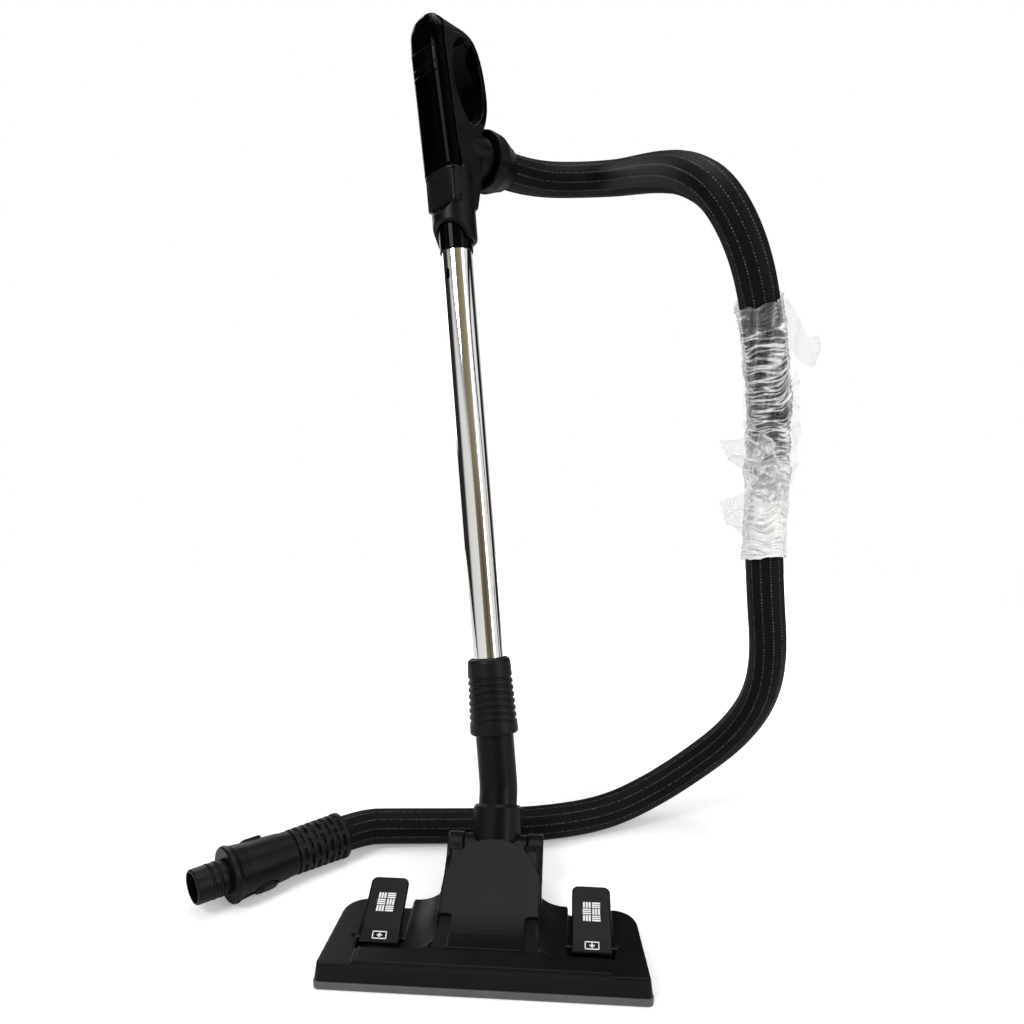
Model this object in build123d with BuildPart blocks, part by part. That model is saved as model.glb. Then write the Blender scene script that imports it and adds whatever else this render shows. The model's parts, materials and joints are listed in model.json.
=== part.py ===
from build123d import *
import os
from math import cos, radians, sin, tan

os.makedirs("parts", exist_ok=True)

# Floor head (millimetres). X is across the head, Y points backwards, Z is up, the floor is Z = 0.
head_width = 300.0
head_front = -60.0
head_depth = 100.0
head_side_lean = 8.5
rear_corner_radius = 26.0
front_corner_radius = 5.0
bumper_height = 7.5
bumper_thickness = 3.5
bumper_lift = 0.6
wing_height = 26.5
wing_draft = 9.0
platform_height = 30.0
platform_bar_inset = 36.0
platform_bar_depth = 24.0
stem_half = 49.0
ear_gap_half = 33.0
sole_thickness = 4.0
sole_inset = 4.5

# Neck
pivot_y = 100.0
pivot_height = 42.0
collar_lean = 30.0
barrel_radius = 19.0
ear_radius = 20.5
pivot_pin_radius = 5.0
collar_radius = 25.0
collar_start = 12.0
collar_end = 49.0
neck_radius = 20.0
bend_distance = 67.3
running_gap = 0.05
loose_gap = 0.4

# Wand: the tube leans back and to the left from the bend of the neck.
lean_back = 16.3
lean_left = 6.4
tube_radius = 16.0
tube_wall = 0.9
inner_radius = 14.6
inner_wall = 0.8
sleeve_start = 56.0
sleeve_length = 80.5
sleeve_top_radius = 22.8
sleeve_foot_radius = 25.5
sleeve_travel = 8.0
tube_start = 70.0
socket_start = 594.0
inner_top = 470.0
telescope_travel = 300.0

# Handle: X runs from the wand's axis to the back of the handle, Z up the wand from the socket's mouth.
handle_turn = 36.0
socket_radius = 23.3
socket_height = 58.0
socket_drop = 19.0
tube_insertion = 40.0
handle_half_low = 22.0
handle_half_high = 18.5
handle_top = 216.0
cover_depth = 6.5
elbow_radius = 20.5
elbow_corner = 84.0
elbow_rise = 3.0
cuff_start = 50.0
cuff_length = 36.0
cuff_mouth_radius = 32.0
cuff_end_radius = 25.0
hose_start = 69.0

# Hose
hose_radius = 19.75
floor_gap = 0.1
film_thickness = 1.6
film_gap = 0.3

# Pedals and brushes
pedal_inset = 54.0
pedal_width = 36.0
pedal_hub = (-18.0, 24.0)
pedal_shaft_radius = 2.5
pocket_floor = 16.5
brush_drop = 3.2

# Machine end connector
bellows_length = 58.0
bellows_radius = 24.5
connector_length = 72.0
connector_radius = 26.0
foot_radius = 29.6
spigot_radius = 17.9
spigot_bore = 15.5
spigot_length = 34.0
latch_travel = 2.5


def save(part, name):
    """Label one finished sub-part and write its file."""
    part.label = name
    export_step(part, f"parts/{name}.step")


def section_plane(start, direction, across):
    """A plane whose own Y runs along direction and whose X runs along across."""
    return Plane(origin=start, x_dir=across, z_dir=across.cross(direction))


def turned(section, points):
    """A solid of revolution about the section plane's Y axis, from a closed outline."""
    with BuildPart() as body:
        with BuildSketch(section):
            with BuildLine():
                Polyline(*points, close=True)
            make_face()
        revolve(axis=Axis(section.origin, section.y_dir))
    return body.part


def ring_points(inner, outer, low, high, edge=0.0):
    """Outline of a plain ring, with a bevel of size edge on its outer rims."""
    if edge == 0.0:
        return [(inner, low), (outer, low), (outer, high), (inner, high)]
    return [
        (inner, low),
        (outer - edge, low),
        (outer, low + edge),
        (outer, high - edge),
        (outer - edge, high),
        (inner, high),
    ]


def head_outline(inset):
    """Closed plan of the wings: straight front, sides that lean inwards, round rear corners."""
    half = head_width / 2 - inset
    rear = head_front + head_depth - inset
    front = head_front + inset
    rear_half = half - head_side_lean
    outline = Polyline(
        (-half, front), (half, front), (rear_half, rear), (-rear_half, rear), close=True
    )
    return outline


def rounded_head_face(inset):
    """The wings' plan as a face with its four corners rounded."""
    with BuildSketch() as face:
        with BuildLine():
            head_outline(inset)
        make_face()
        fillet(face.vertices().group_by(Axis.Y)[0], front_corner_radius)
        fillet(face.vertices().group_by(Axis.Y)[-1], rear_corner_radius - inset)
    return face.sketch


# ---------------------------------------------------------------- frames
pivot = Vector(0, pivot_y, pivot_height)
collar_axis = Vector(0, sin(radians(collar_lean)), cos(radians(collar_lean)))
bend = pivot + collar_axis * bend_distance
wand_axis = Vector(-tan(radians(lean_left)), tan(radians(lean_back)), 1).normalized()
turn = radians(handle_turn)
level_back = Vector(sin(turn), cos(turn), 0)
handle_back = (level_back - wand_axis * level_back.dot(wand_axis)).normalized()
handle_side = handle_back.cross(wand_axis)

collar_section = section_plane(pivot, collar_axis, Vector(1, 0, 0))
wand_section = section_plane(bend, wand_axis, handle_back)
socket_mouth = bend + wand_axis * socket_start
handle_profile = Plane(origin=socket_mouth, x_dir=handle_back, z_dir=handle_side)
handle_front = Plane(origin=socket_mouth, x_dir=handle_side, z_dir=-handle_back)
handle_section = section_plane(socket_mouth, wand_axis, handle_back)
exit_direction = (
    handle_back * cos(radians(elbow_rise)) + wand_axis * sin(radians(elbow_rise))
)
elbow_turn = socket_mouth + wand_axis * elbow_corner
exit_section = section_plane(elbow_turn, exit_direction, handle_side)

# ---------------------------------------------------------------- head shell
platform_front = head_front + 2.6
platform_bar_rear = head_front + platform_bar_depth
platform_bar_half = head_width / 2 - platform_bar_inset
wing_rear = head_front + head_depth
pedestal_half = 44.5
cover_half = 47.5
cover_centre_y = 38.0
cover_rear = cover_centre_y + cover_half
tongue_half = 35.0
tongue_front = platform_bar_rear + 2.0
tongue_rear = 8.0
cover_top_line = [
    (tongue_front, platform_height + 0.8),
    (tongue_rear, platform_height + 5.0),
    (cover_centre_y, 46.5),
    (cover_centre_y + 30.0, 60.5),
    (cover_rear, 68.5),
]
cover_thickness = 3.0
screw_reach = head_width / 2 - 22.0
wheel_track = stem_half - 8.0
screw_places = [
    (-screw_reach, -22),
    (screw_reach, -22),
    (-wheel_track, 74),
    (wheel_track, 74),
]
pedal_centre = head_width / 2 - pedal_inset
pedal_pocket = (
    pedal_centre - pedal_width / 2 - 3.0,
    pedal_centre + pedal_width / 2 + 2.0,
)
shell_bottom = bumper_height + bumper_lift
hub_y, hub_height = pedal_hub
brush_length = head_width - 62.0
brush_chamber = brush_length + 14.0
lint_length = head_width - 110.0
brush_rows = (-49.5, 26.5)
arm_places = [(-62, -11.5), (62, -11.5)]


def lowered_cover_line(drop):
    """The neck cover's top line moved down, to make its underside."""
    return [(y, z - drop) for y, z in cover_top_line]


with BuildPart() as head_shell:
    with BuildSketch(Plane.XY.offset(shell_bottom)):
        add(rounded_head_face(0.6))
    extrude(amount=wing_height - shell_bottom, taper=wing_draft)
    # T-shaped platform, swept into the stem by large concave arcs
    with BuildSketch(Plane.XY.offset(wing_height - 1.0)) as platform:
        with BuildLine():
            Polyline(
                (-platform_bar_half, platform_front),
                (platform_bar_half, platform_front),
                (platform_bar_half, platform_bar_rear),
                (stem_half, platform_bar_rear),
                (stem_half, wing_rear + 14.0),
                (-stem_half, wing_rear + 14.0),
                (-stem_half, platform_bar_rear),
                (-platform_bar_half, platform_bar_rear),
                close=True,
            )
        make_face()
        inner_corners = (
            platform.vertices()
            .filter_by_position(Axis.Y, platform_bar_rear - 1, platform_bar_rear + 1)
            .filter_by_position(Axis.X, -stem_half - 1, stem_half + 1)
        )
        fillet(inner_corners, 17.0)
    extrude(amount=platform_height - wing_height + 1.0, taper=12)
    # Side walls of the stem, which end in the ears of the neck pivot
    with BuildSketch(Plane.YZ.offset(-stem_half)):
        with BuildLine():
            Polyline(
                (-12, shell_bottom),
                (-12, platform_height),
                (36, 37.5),
                (pivot_y - 14.0, pivot_height + 14.97),
                (pivot_y, pivot_height),
                (pivot_y + ear_radius, pivot_height),
                (pivot_y + 14.0, 16.0),
                (pivot_y + 6.0, sole_thickness + 0.2),
                (wing_rear + loose_gap, sole_thickness + 0.2),
                (wing_rear + loose_gap, shell_bottom),
                close=True,
            )
        make_face()
        with Locations((pivot_y, pivot_height)):
            Circle(ear_radius)
    extrude(amount=2 * stem_half)
    # Pedestal under the neck cover
    with BuildSketch(Plane.YZ.offset(-pedestal_half)):
        with BuildLine():
            underside = lowered_cover_line(cover_thickness)
            Polyline(
                (tongue_front, shell_bottom),
                *underside,
                (cover_rear, 30),
                (cover_rear, shell_bottom),
                close=True,
            )
        make_face()
    extrude(amount=2 * pedestal_half)
    # Concave sweep from the wings' rear edge to the stem
    with BuildSketch(Plane.XY.offset(shell_bottom)) as gusset:
        with BuildLine():
            Polyline(
                (-78, wing_rear - 6),
                (78, wing_rear - 6),
                (78, wing_rear),
                (stem_half, wing_rear),
                (stem_half, wing_rear + 44),
                (-stem_half, wing_rear + 44),
                (-stem_half, wing_rear),
                (-78, wing_rear),
                close=True,
            )
        make_face()
        sweep_corners = (
            gusset.vertices()
            .filter_by_position(Axis.Y, wing_rear - 0.5, wing_rear + 0.5)
            .filter_by_position(Axis.X, -stem_half - 1, stem_half + 1)
        )
        fillet(sweep_corners, 20.0)
    extrude(amount=wing_height - shell_bottom - 1.5, taper=4)
    # Everything above the neck cover's underside, between the ears, is cleared
    with BuildSketch(Plane.YZ.offset(-stem_half - 1)):
        with BuildLine():
            Polyline(
                *[(y, z) for y, z in underside[:1]],
                *underside[1:],
                (cover_rear, 90),
                (tongue_front, 90),
                close=True,
            )
        make_face()
    extrude(amount=2 * stem_half + 2, mode=Mode.SUBTRACT)
    # Room for the barrel of the yoke between the ears
    with BuildSketch(Plane.YZ.offset(-ear_gap_half)):
        with Locations((pivot_y, pivot_height)):
            Circle(barrel_radius + 1.2)
    extrude(amount=2 * ear_gap_half, mode=Mode.SUBTRACT)
    with BuildSketch(Plane.YZ.offset(-ear_gap_half)):
        with BuildLine():
            Polyline(
                (pivot_y, pivot_height),
                (pivot_y - 20, pivot_height + 6),
                (pivot_y - 13, pivot_height + 40),
                (pivot_y + 40, pivot_height + 40),
                (pivot_y + 40, pivot_height - 32),
                (pivot_y + 7, pivot_height - 34),
                close=True,
            )
        make_face()
    extrude(amount=2 * ear_gap_half, mode=Mode.SUBTRACT)
    # Room in front of the collar, which leans on its stop at rest
    with BuildSketch(Plane(origin=pivot, x_dir=(1, 0, 0), z_dir=collar_axis)):
        Circle(collar_radius + 0.7)
    extrude(amount=70, mode=Mode.SUBTRACT)
    # Blind holes for the neck's pivot pins, from inside the ears
    with BuildSketch(Plane.YZ.offset(-stem_half + 3.0)):
        with Locations((pivot_y, pivot_height)):
            Circle(pivot_pin_radius + running_gap)
    extrude(amount=2 * stem_half - 6.0, mode=Mode.SUBTRACT)
    # Pockets for the two pedals, open at the back
    for side in (-1, 1):
        with BuildSketch(Plane.XY.offset(pocket_floor)):
            with Locations((side * (pedal_pocket[0] + pedal_pocket[1]) / 2, 4.5)):
                Rectangle(pedal_pocket[1] - pedal_pocket[0], 78)
        extrude(amount=30, mode=Mode.SUBTRACT)
    # Bore for the pedals' shaft
    with BuildSketch(Plane.YZ.offset(-pedal_pocket[1] - 6.0)):
        with Locations((hub_y, hub_height)):
            Circle(pedal_shaft_radius + running_gap)
    extrude(amount=2 * pedal_pocket[1] + 12.0, mode=Mode.SUBTRACT)
    # Chamber of the brush carrier, open below
    with BuildSketch(Plane.XY.offset(shell_bottom - 1)):
        with Locations(*[(0, row) for row in brush_rows]):
            Rectangle(brush_chamber, 9)
        with Locations(*arm_places):
            Rectangle(12, 70)
    extrude(amount=14.2 - shell_bottom + 1, mode=Mode.SUBTRACT)
    # Suction chamber and the duct to the neck
    with BuildSketch(Plane.XY.offset(shell_bottom - 1)):
        with Locations((0, -11)):
            Rectangle(100, 18)
    extrude(amount=9, mode=Mode.SUBTRACT)
    with BuildSketch(Plane.XZ.offset(-(-16.0))):
        with Locations((0, 15.0)):
            Rectangle(44, 15)
    extrude(amount=-(pivot_y - 4.0 - (-16.0)), mode=Mode.SUBTRACT)
    # Pilot holes of the sole's screws
    with BuildSketch():
        with Locations(*screw_places):
            Circle(1.6)
    extrude(amount=11.5, mode=Mode.SUBTRACT)
    # Notches for the rear wheels
    for side in (-1, 1):
        with BuildSketch(Plane.YZ.offset(side * wheel_track - 5.0)):
            with Locations((pivot_y, 12.0)):
                Circle(13.5)
            with Locations((pivot_y, 2.0)):
                Rectangle(27, 20)
        extrude(amount=10, mode=Mode.SUBTRACT)
    with BuildSketch(Plane.YZ.offset(-stem_half + 1.5)):
        with Locations((pivot_y, 12.0)):
            Circle(2.0 + running_gap)
    extrude(amount=2 * stem_half - 3.0, mode=Mode.SUBTRACT)
save(head_shell.part, "head_shell")

# ---------------------------------------------------------------- neck cover
with BuildPart() as neck_cover:
    with BuildSketch(Plane.YZ.offset(-cover_half)):
        with BuildLine():
            Spline(*cover_top_line)
            Line(cover_top_line[-1], (cover_rear, cover_top_line[-1][1] - cover_thickness))
            Polyline(*reversed(lowered_cover_line(cover_thickness)))
            Line((tongue_front, platform_height + 0.8 - cover_thickness), cover_top_line[0])
        make_face()
    extrude(amount=2 * cover_half)
    with BuildSketch() as cover_plan:
        with Locations((0, (tongue_front + tongue_rear) / 2)):
            Rectangle(2 * tongue_half, tongue_rear - tongue_front)
        with Locations((0, (tongue_rear + cover_centre_y) / 2)):
            Rectangle(2 * cover_half, cover_centre_y - tongue_rear)
        with Locations((0, cover_centre_y)):
            Circle(cover_half)
    extrude(amount=120, mode=Mode.INTERSECT)
    with BuildSketch(Plane(origin=pivot, x_dir=(1, 0, 0), z_dir=collar_axis)):
        Circle(collar_radius + 0.7)
    extrude(amount=70, mode=Mode.SUBTRACT)
save(neck_cover.part, "neck_cover")

# ---------------------------------------------------------------- sole and bumper
with BuildPart() as bumper_strip:
    with BuildSketch(Plane.XY.offset(bumper_lift)):
        add(rounded_head_face(0))
        add(rounded_head_face(bumper_thickness), mode=Mode.SUBTRACT)
        # The strip stops where the stem leaves the wings
        with Locations((0, wing_rear)):
            Rectangle(2 * stem_half, 2 * bumper_thickness + 1, mode=Mode.SUBTRACT)
    extrude(amount=bumper_height)
    rims = bumper_strip.edges().group_by(Axis.Z)[-1] + bumper_strip.edges().group_by(Axis.Z)[0]
    chamfer(rims, 0.5)
save(bumper_strip.part, "bumper_strip")

brush_slot = (brush_length + 6.0, 5.4)
lint_rows = (-34.0, 11.0)

with BuildPart() as sole_plate:
    with BuildSketch():
        add(rounded_head_face(sole_inset))
        with Locations((0, wing_rear + 12)):
            Rectangle(2 * stem_half - 2, 45)
    extrude(amount=sole_thickness)
    chamfer(sole_plate.edges().group_by(Axis.Z)[0], 0.8)
    with BuildSketch(Plane.XY.offset(sole_thickness)):
        add(rounded_head_face(sole_inset))
    extrude(amount=shell_bottom - sole_thickness)
    # Slots for the two brush strips and the suction mouth
    with BuildSketch():
        with Locations(*[(0, row) for row in brush_rows]):
            SlotOverall(brush_slot[0], brush_slot[1])
        with Locations((0, -11.5)):
            Rectangle(lint_length + 6.0, 20)
    extrude(amount=30, mode=Mode.SUBTRACT)
    # Chamber of the brush carrier above the skin of the sole
    with BuildSketch(Plane.XY.offset(sole_thickness)):
        with Locations(*[(0, row) for row in brush_rows]):
            Rectangle(brush_chamber, 9)
        with Locations(*arm_places):
            Rectangle(12, 70)
    extrude(amount=20, mode=Mode.SUBTRACT)
    # Seats of the lint strips
    with BuildSketch():
        with Locations(*[(0, row) for row in lint_rows]):
            Rectangle(lint_length, 7)
    extrude(amount=1.6, mode=Mode.SUBTRACT)
    with Locations(*[Location((x, y, 0), (180, 0, 0)) for x, y in screw_places]):
        CounterSinkHole(radius=1.7, counter_sink_radius=3.4, depth=30)
save(sole_plate.part, "sole_plate")

for lint_name, row in zip(("lint_strip_front", "lint_strip_rear"), lint_rows):
    with BuildPart() as lint_strip:
        with BuildSketch(Plane.XY.offset(0.3)):
            with Locations((0, row)):
                RectangleRounded(lint_length - 0.4, 6.6, 1.5)
        extrude(amount=1.3)
    save(lint_strip.part, lint_name)

screw_outline = [(0, 0.35), (3.0, 0.35), (1.6, 1.8), (1.6, 11.5), (0, 11.5)]
with BuildPart() as sole_screws:
    for x, y in screw_places:
        add(turned(section_plane(Vector(x, y, 0), Vector(0, 0, 1), Vector(1, 0, 0)), screw_outline))
    with BuildSketch():
        with Locations(*screw_places):
            RegularPolygon(1.2, 6)
    extrude(amount=1.2, mode=Mode.SUBTRACT)
save(sole_screws.part, "sole_screws")

# ---------------------------------------------------------------- brush carrier
with BuildPart() as brush_carrier:
    with BuildSketch(Plane.XY.offset(shell_bottom + 0.9)):
        with Locations(*[(0, row) for row in brush_rows]):
            Rectangle(brush_length + 8.0, 7)
        with Locations(*arm_places):
            Rectangle(9, 70)
    extrude(amount=4.6)
save(brush_carrier.part, "brush_carrier")

for brush_name, row in zip(("brush_strip_front", "brush_strip_rear"), brush_rows):
    with BuildPart() as brush_strip:
        with BuildSketch(Plane.XY.offset(0.8)):
            with Locations((0, row)):
                Rectangle(brush_length, 3.4)
        extrude(amount=shell_bottom + 0.9 - 0.8)
    save(brush_strip.part, brush_name)

# ---------------------------------------------------------------- pedals
pedal_fold = (-19.0, 36.5)
pedal_toe = (-31.0, 30.2)
pedal_tip = (33.0, 54.0)
pedal_plate = 4.2


def pedal(side):
    """One rocker pedal: a long rear plate, a short front facet and a hub under the fold."""
    with BuildPart() as plate:
        with BuildSketch(Plane.YZ.offset(side * pedal_centre - pedal_width / 2)) as profile:
            with BuildLine():
                Polyline(
                    pedal_toe,
                    pedal_fold,
                    pedal_tip,
                    (pedal_tip[0] + 1.2, pedal_tip[1] - pedal_plate),
                    (hub_y + 9.0, hub_height + 9.6),
                    (hub_y + 5.2, hub_height),
                    (hub_y - 5.2, hub_height),
                    (pedal_toe[0], pedal_toe[1] - 3.6),
                    close=True,
                )
            make_face()
            with Locations(pedal_hub):
                Circle(5.2)
                Circle(pedal_shaft_radius, mode=Mode.SUBTRACT)
        extrude(amount=pedal_width)
        upright = plate.edges().filter_by(Axis.X, reverse=True)
        tip_edges = upright.group_by(Axis.Y)[-1]
        fillet(tip_edges, 6.0)
        tread = plate.faces().sort_by(Axis.Z)[-1]
        fillet(tread.edges(), 1.2)
    return plate.part


save(pedal(-1), "pedal_left")
save(pedal(1), "pedal_right")

with BuildPart() as pedal_shaft:
    with BuildSketch(Plane.YZ.offset(-pedal_pocket[1] - 4.5)):
        with Locations((hub_y, hub_height)):
            Circle(pedal_shaft_radius)
    extrude(amount=2 * pedal_pocket[1] + 9.0)
    chamfer(pedal_shaft.edges().filter_by(GeomType.CIRCLE), 0.5)
save(pedal_shaft.part, "pedal_shaft")

# ---------------------------------------------------------------- wheels
wheel_radius = 12.0
wheel_pin_radius = 2.0


def wheel(side):
    """One rear wheel with a crowned tread and a recessed hub."""
    section = Plane(
        origin=(side * wheel_track, pivot_y, wheel_radius), x_dir=(0, 1, 0), z_dir=(0, 0, 1)
    )
    profile = [
        (wheel_pin_radius + running_gap, -3.6),
        (4.2, -3.6),
        (4.6, -2.2),
        (9.4, -2.2),
        (9.8, -3.6),
        (11.4, -3.6),
        (wheel_radius, -2.4),
        (wheel_radius, 2.4),
        (11.4, 3.6),
        (9.8, 3.6),
        (9.4, 2.2),
        (4.6, 2.2),
        (4.2, 3.6),
        (wheel_pin_radius + running_gap, 3.6),
    ]
    return turned(section_plane(section.origin, Vector(1, 0, 0), Vector(0, 1, 0)), profile)


save(wheel(-1), "wheel_left")
save(wheel(1), "wheel_right")

with BuildPart() as wheel_pins:
    for side in (-1, 1):
        with BuildSketch(Plane.YZ.offset(side * wheel_track - 6.5)):
            with Locations((pivot_y, wheel_radius)):
                Circle(wheel_pin_radius)
        extrude(amount=13.0)
save(wheel_pins.part, "wheel_pins")

# ---------------------------------------------------------------- neck
neck_bore = 16.6
with BuildPart() as neck_yoke:
    with BuildSketch(Plane.YZ.offset(-ear_gap_half + loose_gap)):
        with Locations((pivot_y, pivot_height)):
            Circle(barrel_radius)
    extrude(amount=2 * (ear_gap_half - loose_gap))
    chamfer(neck_yoke.edges().filter_by(GeomType.CIRCLE), 1.2)
    with BuildSketch(Plane(origin=pivot, x_dir=(1, 0, 0), z_dir=collar_axis)):
        Circle(neck_radius - 2.2)
    extrude(amount=collar_start + 8.0)
    with BuildSketch(Plane(origin=pivot, x_dir=(1, 0, 0), z_dir=collar_axis)):
        Circle(neck_bore - 2.6)
    extrude(amount=60, mode=Mode.SUBTRACT)
    with BuildSketch(Plane.YZ.offset(-ear_gap_half)):
        with Locations((pivot_y, pivot_height)):
            Circle(pivot_pin_radius)
    extrude(amount=14.0, mode=Mode.SUBTRACT)
    with BuildSketch(Plane.YZ.offset(ear_gap_half)):
        with Locations((pivot_y, pivot_height)):
            Circle(pivot_pin_radius)
    extrude(amount=-14.0, mode=Mode.SUBTRACT)
    # Lower mouth of the air way, which faces the head's duct
    with BuildSketch(Plane.XZ.offset(-pivot_y)):
        with Locations((0, pivot_height - 10)):
            Rectangle(26, 18)
    extrude(amount=30, mode=Mode.SUBTRACT)
save(neck_yoke.part, "neck_yoke")

pivot_pin_start = ear_gap_half - 8.5
pivot_pin_end = stem_half - 3.5
with BuildPart() as pivot_pins:
    for start in (pivot_pin_start, -pivot_pin_end):
        with BuildSketch(Plane.YZ.offset(start)):
            with Locations((pivot_y, pivot_height)):
                Circle(pivot_pin_radius)
        extrude(amount=pivot_pin_end - pivot_pin_start)
save(pivot_pins.part, "pivot_pins")

collar_outline = [
    (neck_radius - 2.2, collar_start),
    (collar_radius - 1.0, collar_start),
    (collar_radius, collar_start + 1.0),
    (collar_radius, collar_end - 3.0),
    (collar_radius - 2.4, collar_end),
    (neck_radius + running_gap, collar_end),
    (neck_radius + running_gap, collar_start + 8.0),
    (neck_radius - 2.2, collar_start + 8.0),
]
with BuildPart() as swivel_collar:
    add(turned(collar_section, collar_outline))
    # Saddle that sits on the barrel of the yoke
    with BuildSketch(Plane.YZ.offset(-ear_gap_half)):
        with Locations((pivot_y, pivot_height)):
            Circle(barrel_radius)
    extrude(amount=2 * ear_gap_half, mode=Mode.SUBTRACT)
save(swivel_collar.part, "swivel_collar")

with BuildPart() as neck_tube:
    with BuildLine() as neck_line:
        FilletPolyline(
            pivot + collar_axis * (collar_start + 8.6),
            bend,
            bend + wand_axis * (sleeve_start - loose_gap),
            radius=60.0,
        )
    with BuildSketch(Plane(origin=neck_line.line @ 0, z_dir=collar_axis)):
        Circle(neck_radius)
    sweep()
    with BuildSketch(Plane(origin=neck_line.line @ 0, z_dir=collar_axis)):
        Circle(neck_bore)
    extrude(amount=bend_distance - collar_start - 12.0, mode=Mode.SUBTRACT)
    with BuildSketch(Plane(origin=bend + wand_axis * 70, z_dir=wand_axis)):
        Circle(inner_radius)
    extrude(amount=-62, mode=Mode.SUBTRACT)
save(neck_tube.part, "neck_tube")

# ---------------------------------------------------------------- wand
roller_level = sleeve_start + 36.0
with BuildPart() as inner_tube:
    add(
        turned(
            wand_section,
            ring_points(inner_radius - inner_wall, inner_radius, 14.0, inner_top),
        )
    )
    # Detent notches for the lock roller, on the front of the tube
    for step in range(7):
        notch_level = roller_level + step * telescope_travel / 6
        with BuildSketch(
            Plane(
                origin=bend + wand_axis * notch_level - handle_back * inner_radius,
                x_dir=handle_side,
                z_dir=handle_back,
            )
        ):
            SlotOverall(9.0, 4.6)
        extrude(amount=3.0, both=True, mode=Mode.SUBTRACT)
save(inner_tube.part, "inner_tube")

with BuildPart() as outer_tube:
    add(
        turned(
            wand_section,
            ring_points(
                tube_radius - tube_wall, tube_radius, tube_start, socket_start + tube_insertion
            ),
        )
    )
    # Hole for the handle's latch
    with BuildSketch(
        Plane(
            origin=bend + wand_axis * (socket_start - 54.0) - handle_back * tube_radius,
            x_dir=handle_side,
            z_dir=handle_back,
        )
    ):
        SlotOverall(11.0, 4.6, rotation=90)
    extrude(amount=3.0, both=True, mode=Mode.SUBTRACT)
    # Window of the lock roller
    with BuildSketch(
        Plane(
            origin=bend + wand_axis * roller_level - handle_back * tube_radius,
            x_dir=handle_side,
            z_dir=handle_back,
        )
    ):
        Rectangle(10.0, 5.0)
    extrude(amount=3.0, both=True, mode=Mode.SUBTRACT)
save(outer_tube.part, "outer_tube")

core_radius = 18.4
core_drop = 0.6
core_outline = [
    (inner_radius + running_gap, sleeve_start + 1.0),
    (core_radius, sleeve_start + 1.0),
    (core_radius, sleeve_start + sleeve_length - core_drop),
    (tube_radius, sleeve_start + sleeve_length - core_drop),
    (tube_radius, tube_start),
    (inner_radius + running_gap, tube_start),
]
roller_radius = 1.7
roller_middle = bend + wand_axis * roller_level - handle_back * (tube_radius + 0.4)
with BuildPart() as lock_core:
    add(turned(wand_section, core_outline))
    with BuildSketch(Plane(origin=roller_middle, x_dir=handle_side, z_dir=handle_back)):
        Rectangle(10.0, 5.0)
    extrude(amount=4.0, both=True, mode=Mode.SUBTRACT)
save(lock_core.part, "lock_core")

with BuildPart() as lock_roller:
    with BuildSketch(
        Plane(origin=roller_middle - handle_side * 3.5, x_dir=handle_back, z_dir=handle_side)
    ):
        Circle(roller_radius)
    extrude(amount=7.0)
save(lock_roller.part, "lock_roller")

groove_pitch = 7.2
groove_count = 7
groove_depth = 1.3


def sleeve_outline():
    """Outline of the lock sleeve: rounded shoulders and a row of finger grooves."""
    low = sleeve_start
    high = sleeve_start + sleeve_length

    def outer(level):
        share = (level - low) / sleeve_length
        return sleeve_foot_radius + (sleeve_top_radius - sleeve_foot_radius) * share

    points = [
        (core_radius + 0.1, low),
        (outer(low) - 3.0, low),
        (outer(low) - 0.8, low + 1.2),
        (outer(low), low + 3.6),
    ]
    first = low + (sleeve_length - (groove_count - 1) * groove_pitch) / 2 - 3.0
    for number in range(groove_count):
        middle = first + number * groove_pitch
        points += [
            (outer(middle - 2.0), middle - 2.0),
            (outer(middle) - groove_depth, middle - 0.9),
            (outer(middle) - groove_depth, middle + 0.9),
            (outer(middle + 2.0), middle + 2.0),
        ]
    points += [
        (outer(high), high - 5.0),
        (outer(high) - 1.0, high - 1.6),
        (outer(high) - 3.2, high),
        (core_radius + 0.1, high),
    ]
    return points


save(turned(wand_section, sleeve_outline()), "lock_sleeve")

collar_tube_radius = 17.7
tube_collar_outline = ring_points(
    tube_radius, collar_tube_radius, socket_start - 29.0, socket_start + 22.0, 0.6
)
save(turned(wand_section, tube_collar_outline), "tube_collar")

# ---------------------------------------------------------------- handle
cover_low = (-20.0, 55.0)
cover_high = (-27.6, 178.0)
cover_lean = Vector(cover_high[0] - cover_low[0], cover_high[1] - cover_low[1]).normalized()
top_radius = handle_half_high + 0.5
opening_points = [
    (14, 108),
    (3, 124),
    (-3.5, 148),
    (-2.5, 174),
    (6, 192),
    (19, 198.5),
    (30, 192.5),
    (37.0, 176),
    (39.5, 153),
    (37.5, 130),
    (28, 112),
]


def front_zone(depth):
    """Everything in front of the gloss cover's rear face, as a prism across the handle."""
    with BuildPart() as zone:
        with BuildSketch(handle_profile):
            with BuildLine():
                Polyline(
                    (cover_low[0] + depth, cover_low[1]),
                    (cover_high[0] + depth, cover_high[1]),
                    (cover_high[0] + depth + 2.5, cover_high[1] + 22),
                    (cover_high[0] + depth + 11.0, handle_top + 6),
                    (cover_high[0] - 20, handle_top + 6),
                    (cover_high[0] - 20, cover_low[1]),
                    close=True,
                )
            make_face()
        extrude(amount=40, both=True)
    return zone.part


def cap_zone():
    """Everything above the parting line of the handle's top cap."""
    with BuildPart() as zone:
        with BuildSketch(handle_profile):
            with BuildLine():
                Spline((-34, 205), (-14, 200), (0, 199), (14, 203.5), (30, 202.5), (56, 190))
                Polyline((56, 190), (56, 230), (-34, 230), (-34, 205))
            make_face()
        extrude(amount=40, both=True)
    return zone.part


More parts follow.
